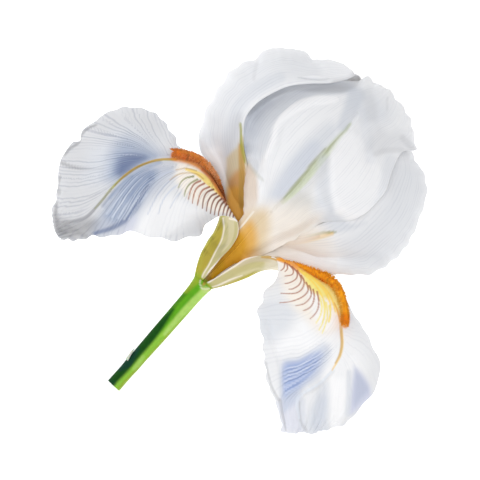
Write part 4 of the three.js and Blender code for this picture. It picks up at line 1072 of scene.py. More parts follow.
rightStandard = {
    "outside": 1,
    "dome": True,
    "ribs": [
        [0.4, 2.0, -120, 38, 38, 0, 0, 0, 0],
        [8, 3.0, -118, 42, 42, 0, 0, 0, 0],
        [14, 4.6, -110, 42, 40, 0, 0, 0, 0],
        [20, 6.8, -100, 42, 44, 0, 0, 0, 0],
        [26, 10.8, -84, 46, 50, 0, 0.5, 0, 0],
        [31, 16.8, -84, 56, 52, 1, 1, 0, 0],
        [35.5, 25, -88, 66, 58, 3, 3, -1, -2],
        [39.5, 34.5, -93, 74, 62, 4, 6, -3, -5],
        [45, 41.4, -98, 74, 66, 4, 6, -5, -8],
        [53, 45.4, -101, 74, 69, 3, 4, -6, -10],
        [63, 46.8, -102, 73, 71, 2, 2, -6, -11],
        [73, 46.2, -102, 73, 71, 1, 0, -6, -11],
        [81, 43.8, -101, 72, 70, 0, -1, -6, -10],
        [89, 37.8, -100, 70, 68, 0, -2, -5, -8],
        [93.5, 29.5, -98, 66, 66, 0, -3, -4, -6],
        [97, 19, -95, 58, 60, 0, -3, -3, -4],
    ],
    "wave": {"height": 0.9, "waves": 5, "phase": 4.0, "start": 0.5},
    "ruffle": {"height": 0.1, "waves": 13, "phase": 0.6},
    "nudges": [
        ((414, 161), (-3, 0), 6), ((422, 175), (2, -1), 10), ((424, 190), (2, 0), 10), ((423, 205), (0, 0), 8),
        ((418, 216), (-2, 0), 8), ((412, 231), (2, 1), 10), ((404, 243), (4, 3), 12), ((394, 253), (4, 5), 12),
        ((382, 261), (3, 5), 12), ((368, 267), (2, 5), 14), ((352, 271), (0, 1), 12), ((338, 271), (0, 1), 10),
        ((331, 271), (0, 4), 7), ((322, 269), (0, 7), 10), ((312, 266), (0, 8), 10), ((302, 262), (0, 8), 11),
        ((290, 260), (0, 7), 11), ((278, 257), (0, 5), 11), ((268, 256), (0, 3), 9),
    ],
    "levels": [
        (
            [
                (258, 257, 10.5), (270, 257, 12.5), (282, 259, 13.5), (292, 261, 14), (302, 264, 14.5),
                (312, 268, 15), (322, 271, 17), (336, 273, 19.5), (352, 272, 19.5), (368, 268, 18),
            ],
            0.92, True, 9,
            [
                (252, 262), (260, 252), (272, 249), (286, 247), (300, 246), (316, 248), (334, 254), (354, 258),
                (376, 260), (384, 266), (374, 278), (350, 290), (320, 292), (294, 284), (268, 274),
            ],
        ),
    ],
    "outerPaint": [
        # painted shade down its right side and under the front standard's lower margin
        ("coolGrey", 0.35, None, 12, [
            (392, 160), (414, 160), (426, 190), (414, 226), (388, 256), (350, 262), (342, 240), (366, 224),
            (384, 200),
        ]),
        ("coolGrey", 0.55, None, 3.5, [
            (298, 232), (316, 216), (331, 200), (338, 214), (352, 224), (366, 222), (346, 231), (322, 233),
        ]),
        ("cream", 0.55, None, 9, [(248, 262), (256, 236), (296, 232), (330, 236), (326, 252), (296, 260)]),
        # painted light on its lower limb
        ("white", 0.6, None, 6, [
            (280, 262), (288, 250), (312, 246), (338, 252), (336, 268), (316, 270), (298, 266),
        ]),
        ("paleGold", 0.8, 1.2, 2.2, [(288, 243, 1), (303, 239, 3), (316, 236.5, 2.4), (332, 233, 1)]),
        ("clay", 0.7, 1.0, 1.8, [(296, 241, 1), (306, 238.5, 1.8), (318, 235.5, 1.4)]),
        ("arcOlive", 0.6, 0.6, 1.2, [(308, 235.5, 0.6), (322, 232.6, 1), (336, 231.6, 0.4)]),
        *throatPaint,
    ],
}

petals = {
    "fall_left": leftFall,
    "fall_right": rightFall,
    "fall_under": underFall,
    "standard_front": frontStandard,
    "standard_left": leftStandard,
    "standard_right": rightStandard,
}

petalMesh = {
    "thickness": 0.5,
    "rows": 190,
    "columns": 124,
    "midrib": 0.45,
    "midribWidth": 0.05,
    "plainVeins": (34, 0.8),  # how many on each side where no flow is given, and their power
    "levelFrom": (6, 8),  # levels that work from below start this far down, over this height
    "crowding": (0.42, 0.5),  # the falls' rows are closer together round this place, and by how much
    "clawEnd": (0.022, 0.01),  # where the stem's green ends, and its blur
    "ruffle": {"height": 0.35, "waves": 15, "phase": 1.0},
    "ruffleStart": (0.38, 0.12),
    "tipStart": (0.86, 0.14),
}

# Marks that follow the petal itself, for every side of it: how far along it in hundredths, and
# how far across it from -50 to 50.
clawMarks = [
    ("cream", 0.8, None, 9, [(-6, -62), (26, -60), (34, -30), (38, 0), (34, 30), (26, 60), (-6, 62)]),
    ("paleGold", 0.8, None, 8, [(-6, -62), (16, -60), (22, -20), (26, 0), (22, 20), (16, 60), (-6, 62)]),
    ("green", 0.7, None, 6, [(-6, -30), (6, -24), (14, 0), (6, 24), (-6, 30)]),
]
haftMarks = [
    ("paleTan", 0.85, None, 7, [(-6, -62), (22, -60), (32, -30), (34, 0), (32, 30), (22, 60), (-6, 62)]),
    ("green", 0.9, None, 5, [(-6, -32), (14, -26), (26, -12), (33, 0), (26, 12), (14, 26), (-6, 32)]),
    ("paleGreen", 0.8, 0.8, 2.5, [(24, 0, 5), (40, 0, 2.4), (60, 0, 1.2), (84, 0, 0.3)]),
]


def petalSurface(look):
    surface = domeSurface(look["ribs"]) if look.get("dome") else ribSurface(look["ribs"])
    return waved(surface, marginWave(**look["wave"]))


def gridNormals(points, rows, columns):
    grid = points.reshape(rows + 1, columns + 1, 3)
    return unit(np.cross(np.gradient(grid, axis=0), np.gradient(grid, axis=1)).reshape(-1, 3))


def fineForm(look, u, v):  # the midrib, a groove inside and a ridge outside, and the fine ruffles
    rib = petalMesh["midrib"] * np.exp(-((v / petalMesh["midribWidth"]) ** 2)) * (1 - 0.8 * u)
    fine = look.get("ruffle", petalMesh["ruffle"])
    (sideStart, sideBlur), (tipStart, tipBlur) = petalMesh["ruffleStart"], petalMesh["tipStart"]
    turn = 2 * math.pi * fine["waves"] * u + fine["phase"] + 2.2 * np.sin(9 * u + np.sign(v) * 2)
    sides = np.sin(turn) * np.abs(v) ** 7 * smooth((u - sideStart) / sideBlur)
    tip = np.sin(2 * math.pi * 5 * v + 1.5 * np.sin(4 * v) + fine["phase"]) * smooth((u - tipStart) / tipBlur)
    return rib * look["outside"] + fine["height"] * (sides + tip * (1 - np.abs(v) ** 3))


def nudged(points, at, nudges):  # shifts, in pixels, of what shows near a pixel
    shift, total = np.zeros((len(at), 2)), np.zeros(len(at))
    for (px, py), by, reach in nudges:
        near = smooth(1 - np.hypot(at[:, 0] - px, at[:, 1] - py) / reach)
        shift += near[:, None] * np.array(by)
        total += near
    shift *= picture["scale"] / np.maximum(total, 1)[:, None]
    return points + np.column_stack((shift[:, 0], -shift[:, 1], np.zeros(len(at)))) @ pictureAxes()


def folded(points, at, folds):  # folds raise the surface towards the picture's side
    for height, width, blur, line in folds:
        points = points + np.outer(height * maskOf(at, width, blur, line), (0, 0, 1))
    return points


def levelled(points, at, levels):  # draws the surface towards a height, or the heights along a line
    for height, strength, fromBelow, blur, corners in levels:
        if isinstance(height, list):
            line = np.array(height, float)
            along = toLine(at, line[:, :2])[1]
            height = np.interp(along, np.linspace(0, 1, len(line)), line[:, 2])
        gap = height - points[:, 2]
        if fromBelow:  # and only what is near the top already
            down, over = petalMesh["levelFrom"]
            gap = np.maximum(gap, 0) * smooth((points[:, 2] + down) / over)
        points = points + np.outer(gap * strength * maskOf(at, None, blur, corners), (0, 0, 1))
    return points


def verticesOf(piece):
    flat = np.empty(len(piece.data.vertices) * 3)
    piece.data.vertices.foreach_get("co", flat)
    return flat.reshape(-1, 3)


def moveVertices(piece, points):
    piece.data.vertices.foreach_set("co", toScene(points).ravel())


def faceOutwards():
    bpy.ops.object.mode_set(mode="EDIT")
    bpy.ops.mesh.select_all(action="SELECT")
    bpy.ops.mesh.normals_make_consistent(inside=False)
    bpy.ops.object.mode_set(mode="OBJECT")


def startGrid(name, rows, columns):
    bpy.ops.object.select_all(action="DESELECT")
    bpy.ops.mesh.primitive_grid_add(x_subdivisions=columns, y_subdivisions=rows, size=2, calc_uvs=True)
    piece = bpy.context.object
    piece.name = name
    x, y, _ = verticesOf(piece).T
    return piece, (y + 1) / 2, x


def startBall(name, segments, rings):  # each vertex has its place from pole to pole, and its angle round them
    bpy.ops.object.select_all(action="DESELECT")
    bpy.ops.mesh.primitive_uv_sphere_add(segments=segments, ring_count=rings, radius=1)
    piece = bpy.context.object
    piece.name = name
    x, y, z = verticesOf(piece).T
    return piece, np.arccos(np.clip(-z, -1, 1)) / math.pi, np.arctan2(y, x)


def crowded(u, middle, amount):  # rows moved closer together round one place
    def turn(u):
        return u - amount * np.sin(2 * math.pi * (u - middle)) / (2 * math.pi)

    return turn(u) - turn(0)


def finishBlade(piece, points, outside, materials, thickness):
    moveVertices(piece, points)
    if outside > 0:  # the grid faces the other way
        bpy.ops.object.mode_set(mode="EDIT")
        bpy.ops.mesh.select_all(action="SELECT")
        bpy.ops.mesh.flip_normals()
        bpy.ops.object.mode_set(mode="OBJECT")
    for material in materials:
        piece.data.materials.append(material)
    solidify = piece.modifiers.new("thickness", "SOLIDIFY")
    solidify.thickness = thickness / 1000
    solidify.offset = 0
    solidify.material_offset = 1
    bpy.ops.object.modifier_apply(modifier="thickness")
    bpy.ops.object.shade_smooth()


def joinAll(pieces):
    bpy.ops.object.select_all(action="DESELECT")
    for piece in pieces:
        piece.select_set(True)
    bpy.context.view_layer.objects.active = pieces[0]
    bpy.ops.object.join()
    return pieces[0]


def settle(piece, node):
    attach(piece, "root")
    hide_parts(node)


def addValues(mesh, name, values):
    layer = mesh.attributes.new(name, "FLOAT", "POINT")
    layer.data.foreach_set("value", values.astype(np.float32))


def flowOf(at, v, look):  # a number that grows by one from each vein to the next
    if "flow" not in look:
        count, power = petalMesh["plainVeins"]
        return count * np.abs(v) ** power
    curves = [readRows(line, np.linspace(0, 1, 3 * len(line))) for line in look["flow"]]
    away = np.array([toLine(at, curve)[0] for curve in curves])
    nearest = away.argmin(0)
    each = np.arange(len(at))
    last = len(away) - 1
    before, after = away[np.maximum(nearest - 1, 0), each], away[np.minimum(nearest + 1, last), each]
    useAfter = ((after < before) & (nearest < last)) | (nearest == 0)
    here, there = away[nearest, each], np.where(useAfter, after, before)
    step = here / np.maximum(here + there, 1e-6)
    return look["perStep"] * (nearest + np.where(useAfter, step, -step))


def leafPlace(u, v):  # hundredths of the length, and from -50 to 50 across
    return np.stack((100 * u, 50 * v), -1)


def makePetal(name, look, materials):
    rows, columns = look.get("mesh", (petalMesh["rows"], petalMesh["columns"]))
    petal, u, v = startGrid(name + "_petal", rows, columns)
    if "flow" in look:
        u = crowded(u, *petalMesh["crowding"])
    points = petalSurface(look)(u, v)
    points += gridNormals(points, rows, columns) * fineForm(look, u, v)[:, None]
    points = nudged(points, inPicture(points), look.get("nudges", []))
    points = folded(points, inPicture(points), look.get("folds", []) + look.get("drops", []))
    points = levelled(points, inPicture(points), look.get("levels", []))
    normals = gridNormals(points, rows, columns)
    at, leaf = inPicture(points), leafPlace(u, v)
    outward = normals[:, 2] * look["outside"]  # how squarely the outer side faces the picture
    for side, facing in (("outer", outward), ("inner", -outward)):
        under = painted(leaf, look.get(side + "Marks", []))
        over = painted(at, look.get(side + "Paint", []), smooth(facing * 3 + 0.6))
        cover = over[:, 3] + (1 - over[:, 3]) * under[:, 3]
        share = np.divide(over[:, 3], cover, out=np.zeros(len(at)), where=cover > 0)[:, None]
        colour = under[:, :3] * (1 - share) + over[:, :3] * share
        clawEnd, clawBlur = petalMesh["clawEnd"]
        atEnd = smooth((clawEnd - u) / clawBlur)[:, None]  # where the claw grows out of the stem
        colour += (toLinear(colours["stemGreen"]) - colour) * atEnd
        addPaint(petal.data, side + "Paint", np.column_stack((colour, np.maximum(cover, atEnd[:, 0]))))
    addValues(petal.data, "flow", flowOf(at, v, look))
    for layer, usual in (("dark", 0.15), ("streaks", 0.0)):
        everywhere, patches = look.get(layer, (usual, []))
        values = np.full(len(at), everywhere)
        for strength, blur, corners in patches:
            values += (strength - values) * patched(at, corners, blur)
        addValues(petal.data, layer, values)
    finishBlade(petal, points, look["outside"], materials, petalMesh["thickness"])
    settle(petal, name)
    return petal


# Veins: dark lines wherever "Place" is a whole number and light streaks half way between them.
veinLook = {
    "wander": (9, 3, 1.6),  # scale and detail of the noise that bends the lines, and by how much
    "breaks": (1.1, 9.0),  # how soon a vein's strength changes, across and along
    "breakRange": (0.36, 0.62),
    "crinkle": (90, 4),
    "sharpness": 2.5,
}


def makeVeinGroup():
    group = bpy.data.node_groups.new("petal veins", "ShaderNodeTree")
    for name, kind, value in (
        ("UV", "NodeSocketVector", None),
        ("Place", "NodeSocketFloat", 0.0),
        ("Sharpness", "NodeSocketFloat", veinLook["sharpness"]),
    ):
        socket = group.interface.new_socket(name=name, in_out="INPUT", socket_type=kind)
        if value is not None:
            socket.default_value = value
    for name in ("Lines", "Streaks", "Crinkle"):
        group.interface.new_socket(name=name, in_out="OUTPUT", socket_type="NodeSocketFloat")
    given = group.nodes.new("NodeGroupInput")
    result = group.nodes.new("NodeGroupOutput")

    def noise(scale, detail, vector=given.outputs["UV"]):
        node = group.nodes.new("ShaderNodeTexNoise")
        setSockets(node, {"Scale": scale, "Detail": detail})
        group.links.new(vector, node.inputs["Vector"])
        return node.outputs["Fac"]

    scale, detail, wander = veinLook["wander"]
    place = calc(group, "MULTIPLY_ADD", noise(scale, detail), wander, given.outputs["Place"])
    wave = calc(group, "COSINE", calc(group, "MULTIPLY", place, 2 * math.pi))
    wave = calc(group, "MULTIPLY_ADD", wave, 0.5, 0.5)
    along = group.nodes.new("ShaderNodeSeparateXYZ")
    group.links.new(given.outputs["UV"], along.inputs[0])
    ofVein = group.nodes.new("ShaderNodeCombineXYZ")
    group.links.new(calc(group, "MULTIPLY", place, veinLook["breaks"][0]), ofVein.inputs[0])
    group.links.new(calc(group, "MULTIPLY", along.outputs["Y"], veinLook["breaks"][1]), ofVein.inputs[1])
    strength = fade(group, noise(1.0, 1, ofVein.outputs[0]), *veinLook["breakRange"])
    dark = calc(group, "MULTIPLY", calc(group, "POWER", wave, given.outputs["Sharpness"]), strength)
    light = calc(group, "POWER", calc(group, "SUBTRACT", 1.0, wave), 2.0)
    group.links.new(dark, result.inputs["Lines"])
    group.links.new(calc(group, "MULTIPLY", light, strength), result.inputs["Streaks"])
    group.links.new(noise(*veinLook["crinkle"]), result.inputs["Crinkle"])
    return group


petalWhite = {
    "colour": (0.9, 0.905, 0.925),
    "veinColour": (0.42, 0.45, 0.55),
    "streakColour": (0.82, 0.86, 0.94),
    "veinRelief": (0.3, 0.0004),  # strength, and height in metres
    "skin": {
        "Roughness": 0.6,
        "Specular IOR Level": 0.25,
        "Subsurface Weight": 0.3,
        "Subsurface Radius": (1, 0.95, 0.9),
        "Subsurface Scale": 0.003,
    },
}
veinGroup = makeVeinGroup()


def petalMaterial(name, paintName):
    material, tree, shader = newMaterial(name)
    uv = tree.nodes.new("ShaderNodeUVMap")
    uv.uv_map = "UVMap"
    veins = tree.nodes.new("ShaderNodeGroup")
    veins.node_tree = veinGroup
    tree.links.new(uv.outputs["UV"], veins.inputs["UV"])
    tree.links.new(attribute(tree, "flow").outputs["Fac"], veins.inputs["Place"])
    veins.inputs["Sharpness"].default_value = veinLook["sharpness"]
    paint = attribute(tree, paintName)
    colour = mixed(tree, paint.outputs["Alpha"], petalWhite["colour"], paint.outputs["Color"])
    streaks = calc(tree, "MULTIPLY", veins.outputs["Streaks"], attribute(tree, "streaks").outputs["Fac"])
    colour = mixed(tree, streaks, colour, petalWhite["streakColour"])
    lines = calc(tree, "MULTIPLY", veins.outputs["Lines"], attribute(tree, "dark").outputs["Fac"])
    colour = mixed(tree, lines, colour, petalWhite["veinColour"], "MULTIPLY")
    tree.links.new(colour, shader.inputs["Base Color"])
    height = calc(tree, "MULTIPLY_ADD", veins.outputs["Crinkle"], 0.5, calc(tree, "MULTIPLY", lines, -1.0))
    addRelief(tree, shader, height, *petalWhite["veinRelief"])
    setSockets(shader, petalWhite["skin"])
    return material


petalSides = [petalMaterial("petal " + side + " side", side + "Paint") for side in ("outer", "inner")]
for name, look in petals.items():
    look.setdefault("outerMarks", clawMarks if look.get("dome") else haftMarks)
    look.setdefault("innerMarks", clawMarks)
    makePetal(name, look, petalSides)
print("petals made")


tissueLook = {"detail": 3, "tone": (0.3, 0.85), "relief": 0.0003, "lightDepth": 0.0015}


def tissue(name, paintName, roughness, translucency, specular=0.3, bump=0.3, scale=900):
    material, tree, shader = newMaterial(name)
    paint = attribute(tree, paintName)
    place = tree.nodes.new("ShaderNodeTexCoord")
    grain = tree.nodes.new("ShaderNodeTexNoise")
    setSockets(grain, {"Scale": scale, "Detail": tissueLook["detail"]})
    tree.links.new(place.outputs["Object"], grain.inputs["Vector"])
    light = calc(tree, "MULTIPLY_ADD", grain.outputs["Fac"], *tissueLook["tone"])
    tinted = tree.nodes.new("ShaderNodeVectorMath")
    tinted.operation = "SCALE"
    tree.links.new(paint.outputs["Color"], tinted.inputs[0])
    tree.links.new(light, tinted.inputs["Scale"])
    tree.links.new(tinted.outputs[0], shader.inputs["Base Color"])
    addRelief(tree, shader, grain.outputs["Fac"], bump, tissueLook["relief"])
    setSockets(shader, {
        "Roughness": roughness,
        "Specular IOR Level": specular,
        "Subsurface Weight": translucency,
        "Subsurface Scale": tissueLook["lightDepth"],
    })
    return material


def fullPaint(at, ground, marks):  # paint over a ground of one colour
    over = painted(at, marks)
    ground = toLinear(colours[ground])
    return np.column_stack((ground + (over[:, :3] - ground) * over[:, 3:], np.ones(len(at))))


# Beards: a core with hairs that stand round its upper side.
beards = {
    "left": {
        "petal": leftFall,
        "start": 0.315,
        "end": 0.64,
        "crowding": 1.15,
        "crest": [
            (225, 202), (222.5, 195), (219, 186), (215, 177), (209.5, 168.5), (202, 161.5), (192, 157),
            (182, 154.5), (173.5, 153),
        ],
        "girth": [0.3, 0.5, 0.66, 0.78, 0.88, 0.96, 1.0, 1.0, 1.0],
        "seed": 11,
        "tip": "beardPink",
        "ground": "beardRust",
        "paint": [
            ("beardPink", 0.45, 1.4, 2.5, [
                (184, 148.5, 1), (194, 151, 1), (204, 157, 1), (212, 167, 1), (217, 177, 0.4),
            ]),
            ("rust", 0.6, 1.4, 2.5, [(186, 156), (194, 159), (203, 166), (209, 174), (214, 184)]),
            ("brown", 0.9, 2.5, 5, [(209, 174, 1.5), (219, 191, 2.5), (225, 202, 2.5)]),
            ("beardRed", 0.5, 2.0, 3.0, [(172, 150, 2.5), (178, 155, 2.5), (186, 158, 1.2)]),
            ("beardTip", 0.85, 0.8, 1.6, [(175, 160, 1.2), (184, 161.5, 1.2), (192, 163, 0.6)]),
        ],
    },
    "right": {
        "petal": rightFall,
        "start": 0.26,
        "end": 0.66,
        "crowding": 1.2,
        "raise": 3.5,
        "crest": [
            (275, 258), (291, 264), (306, 270), (320, 276), (331.5, 282), (338.6, 291.6), (342.6, 303.3),
            (344.6, 314.5), (345, 323.5),
        ],
        "girth": [0.25, 0.6, 0.98, 1.2, 1.15, 1.0, 0.92, 0.9, 0.86],
        "seed": 23,
        "tip": "beardTip",
        "ground": "beardGold",
        "paint": [
            ("beardRed", 0.95, 1.8, 3.0, [
                (276, 259, 1), (290, 266, 1.0), (300, 271, 1.2), (312, 277, 1.4), (324, 282, 1.2), (332, 287, 0.8),
            ]),
            ("brown", 0.5, 0.8, 2.0, [
                (280, 261, 0.5), (294, 267, 0.8), (306, 274, 1.0), (318, 280, 0.8), (328, 285, 0.4),
            ]),
            ("beardTip", 0.9, 0.9, 1.5, [
                (324, 284, 0.5), (333, 289, 1.2), (337.5, 297, 1.6), (340, 306, 1.6), (341.5, 316, 1.0),
            ]),
            ("beardRed", 0.6, 1.5, 3, [(345, 316), (344, 327)]),
        ],
    },
    "under": {
        "petal": underFall,
        "start": 0.22,
        "end": 0.47,
        "crowding": 0.75,
        "girth": [0.35, 0.6, 0.8, 0.95, 1.0],
        "seed": 37,
        "tip": "beardTip",
        "ground": "orange",
        "paint": [],
    },
}
beardLook = {
    "core": 1.25,  # radius
    "lift": 0.5,  # of the core off its petal
    "hairs": 2000,
    "alongPower": 0.85,  # below 1, more of them grow towards the beard's tip
    "length": 1.4,
    "lengths": (0.65, 0.45),  # of that, at least and as much again at most
    "thickness": 0.2,
    "sunk": 0.75,  # how far out in the core the hairs start
    "fan": 100,  # degrees to either side that they start at
    "lieOver": (1.2, 0.7, 2.0),  # how far over: their start's angle times this, plus this, and this at most
    "lean": (0.25, 0.35),  # along the beard, at least and as much again at most
    "endLean": 1.2,  # more for the last ones
    "scatter": 0.16,
    "bend": 0.18,
    "rise": 0.45,  # how much of their height they keep
    "clumps": 60,
    "clumpTone": (0.85, 0.6),
    "hairTone": (0.85, 0.3),
    "brightest": 0.95,
    "tipShare": [0, 0, 0, 0.05, 0.05, 0.05, 0.3],  # of the tip's colour, for each vertex of a hair
    "sheen": {"Sheen Weight": 0.5, "Sheen Roughness": 0.4, "Sheen Tint": (1, 0.42, 0.1, 1)},
}


def shifted(points, look):
    return folded(points, inPicture(points), look["petal"].get("drops", []))


def beardFrame(look, t):  # the middle of the beard's core at t, and its own directions there
    pointAt = petalSurface(look["petal"])

    def middle(t):
        u = look["start"] + (look["end"] - look["start"]) * t
        zero = np.zeros(len(t))
        inward = -look["petal"]["outside"] * normalOf(pointAt, u, zero)
        size = beardLook["core"] * readRows([(girth,) for girth in look["girth"]], t)[:, 0] * look["crowding"]
        points = pointAt(u, zero) + inward * (beardLook["lift"] + size)[:, None]
        if "crest" in look:
            by = (readRows(look["crest"], t) - inPicture(points)) * picture["scale"]
            points += np.column_stack((by[:, 0], -by[:, 1], zero)) @ pictureAxes()
        points[:, 2] += look.get("raise", 0)
        return points, inward, size

    here, out, size = middle(t)
    ahead, _, _ = middle(np.minimum(t + 0.02, 1))
    behind, _, _ = middle(np.maximum(t - 0.02, 0))
    along = unit(ahead - behind)
    return here, along, out, unit(np.cross(along, out)), size


def makeCore(name, look):
    brush, t, angle = startBall("beard_" + name + "_brush", 18, 60)
    middle, _, out, side, size = beardFrame(look, t)
    girth = (size * np.clip(np.sin(t * math.pi) * 6, 0, 1) ** 0.5)[:, None]
    core = shifted(middle + (out * np.cos(angle)[:, None] + side * np.sin(angle)[:, None]) * girth, look)
    moveVertices(brush, core)
    addPaint(brush.data, "hairPaint", fullPaint(inPicture(core), look["ground"], look["paint"]))
    return brush


def makeHairs(look):  # each one has two rings of three vertices and a point
    draw = np.random.default_rng(look["seed"])
    count = beardLook["hairs"]
    t = draw.random(count) ** beardLook["alongPower"]
    angle = np.radians(beardLook["fan"]) * (2 * draw.random(count) - 1)
    middle, along, out, side, size = beardFrame(look, t)
    across = out * np.cos(angle)[:, None] + side * np.sin(angle)[:, None]
    times, more, most = beardLook["lieOver"]
    over = np.sign(angle) * np.minimum(np.abs(angle) * times + more, most)
    lying = out * np.cos(over)[:, None] + side * np.sin(over)[:, None]
    (least, more), atEnd = beardLook["lean"], np.clip((t - 0.93) / 0.07, 0, 1)
    lean = least + more * draw.random(count) + beardLook["endLean"] * atEnd
    heading = lying + along * lean[:, None] + beardLook["scatter"] * draw.normal(size=(count, 3))
    heading[:, 2] *= beardLook["rise"]
    heading = unit(heading)
    shortest, longer = beardLook["lengths"]
    length = size / beardLook["core"] * beardLook["length"] * (shortest + longer * draw.random(count))
    length = length[:, None]
    root = middle + across * (beardLook["sunk"] * size)[:, None]
    bend = along * length * beardLook["bend"]
    first = unit(np.cross(heading, side + 0.3 * out))
    second = np.cross(heading, first)
    rings = []
    for place, width in ((0, 1.0), (0.55, 0.8)):
        centre = root + heading * length * place + bend * place ** 2
        for k in range(3):
            corner = first * math.cos(2.1 * k) + second * math.sin(2.1 * k)
            rings.append(centre + corner * beardLook["thickness"] * width)
    rings.append(root + heading * length + bend)
    hairs = shifted(np.stack(rings, 1).reshape(-1, 3), look)
    corners = np.array([(0, 2, 1), (3, 4, 6), (4, 5, 6), (5, 3, 6)])
    sides = np.array([(0, 1, 4, 3), (1, 2, 5, 4), (2, 0, 3, 5)])
    start = 7 * np.arange(count)[:, None, None]
    faces = (corners + start).reshape(-1, 3).tolist() + (sides + start).reshape(-1, 4).tolist()
    mesh = bpy.data.meshes.new("hairs")
    mesh.from_pydata(toScene(hairs).tolist(), [], faces)
    piece = bpy.data.objects.new("hairs", mesh)
    bpy.context.collection.objects.link(piece)

    paint = fullPaint(inPicture(np.repeat(shifted(root, look), 7, 0)), look["ground"], look["paint"])
    (clumpLeast, clumpMore), (hairLeast, hairMore) = beardLook["clumpTone"], beardLook["hairTone"]
    clump = draw.random(beardLook["clumps"] + 1)[(t * beardLook["clumps"]).astype(int)]
    tone = np.repeat((clumpLeast + clumpMore * clump) * (hairLeast + hairMore * draw.random(count)), 7)
    tone = np.minimum(tone, beardLook["brightest"] / paint[:, :3].max(1))[:, None]
    atTip = np.tile(beardLook["tipShare"], count)[:, None]
    paint[:, :3] = paint[:, :3] * tone * (1 - atTip) + toLinear(colours[look["tip"]]) * atTip
    addPaint(mesh, "hairPaint", paint)
    return piece


def makeBeard(name, look, material):
    brush, hairs = makeCore(name, look), makeHairs(look)
    for piece in (brush, hairs):
        piece.data.materials.append(material)
    joinAll([brush, hairs])
    bpy.ops.object.shade_smooth()
    settle(brush, "beard_" + name)


beardMaterial = tissue("beard hair", "hairPaint", 0.7, 0, specular=0.05, bump=0.1)
setSockets(beardMaterial.node_tree.nodes["Principled BSDF"], beardLook["sheen"])
for name, look in beards.items():
    makeBeard(name, look, beardMaterial)
print("beards made")


# The stem, with its node, the seed pod and the tube.
stemLook = {
    "profile": [
        (-54.6, 3.1), (-50, 3.05), (-46, 3.05), (-44, 3.2), (-42, 3.2), (-39, 3.15), (-28, 3.4), (-18, 3.5),
        (-9, 3.6), (-4, 3.8), (-1.2, 4.15), (0, 4.45), (0.5, 4.35), (0.9, 3.2),
    ],
    "bend": (1.9, 0.75),  # to the right of the flower's axis at the cut end, and its power
    "sides": 72,
    "rings": 140,
    "ridges": (6, 0.07, 0.02),  # how many, their height, and their turn for each millimetre
    "cutEnd": (0.1, 0.12, 0.3),  # insets that round its rim and then reach the pith
    "pithDepth": 0.004,
    "sharpEdge": 50,
    "ground": "leaf",
    "paint": [
        # painted light and shade across the stem: a lit lime side with painted highlights along it, and a deep
        # green shaded side
        ("lime", 0.95, 3.0, 4.0, [(116, 387, 2.6), (140, 361, 3), (168, 332, 3), (188, 310, 3), (205, 292, 3)]),
        ("paleLime", 0.8, 1.0, 3.5, [(165, 334, 0), (180, 316, 1.2), (194, 302, 2.2), (206, 292, 3)]),
        ("edgeOlive", 0.7, 0.8, 2.2, [(119, 389), (143, 364), (170, 334.5), (191, 312.5), (202, 301)]),
        ("moss", 0.85, 1.2, 3.5, [(150, 331, 1.2), (168, 311, 1.2), (182, 296, 0.8), (190, 287, 0.4)]),
        ("deepGreen", 1.0, 3, 4.5, [
            (110, 381, 3.8), (124, 366.5, 3.8), (137, 351.5, 3.6), (150.5, 336.5, 3.0), (161.5, 323.5, 1.6),
            (173, 309.5, -1.0),
        ]),
        ("darkTeal", 0.85, 1.0, 3.0, [(120, 369, 1), (127, 363, 3), (131, 358, 2), (138, 349, 0.5)]),
        ("darkTeal", 0.4, 0.8, 2.5, [(109, 380, 1.5), (114, 384, 1)]),
        ("paleLime", 0.5, 1.0, 2.5, [(134, 369, 0.5), (138.5, 363.5, 1.2), (143, 357, 0.5)]),
        ("edgeOlive", 0.8, 1.0, 4.0, [(186, 291, 0.3), (191, 285, 1.5), (196, 279, 3), (199, 274, 3)]),
        ("throatPale", 0.35, 1.0, 4.0, [(203, 288, 0.5), (208, 290, 1.5), (214, 290, 2.5)]),
        ("goldBrown", 0.7, 1.0, 1.8, [(206.5, 281.5, 1.2), (203.5, 284.5, 0.5)]),
        ("cream", 0.5, 0.2, 0.9, [
            (201.5, 278.5), (200, 281.5), (200.4, 285), (202.5, 288.5), (207, 289), (212, 287.5),
        ]),
    ],
}


def stemAxis(x):
    amount, power = stemLook["bend"]
    return flower["throatY"] - amount * np.maximum(-x / flower["stemLength"], 0) ** power


def roundStem(x, out, bearing):
    return np.stack((x, stemAxis(x) + out * np.sin(bearing), out * np.cos(bearing)), -1)


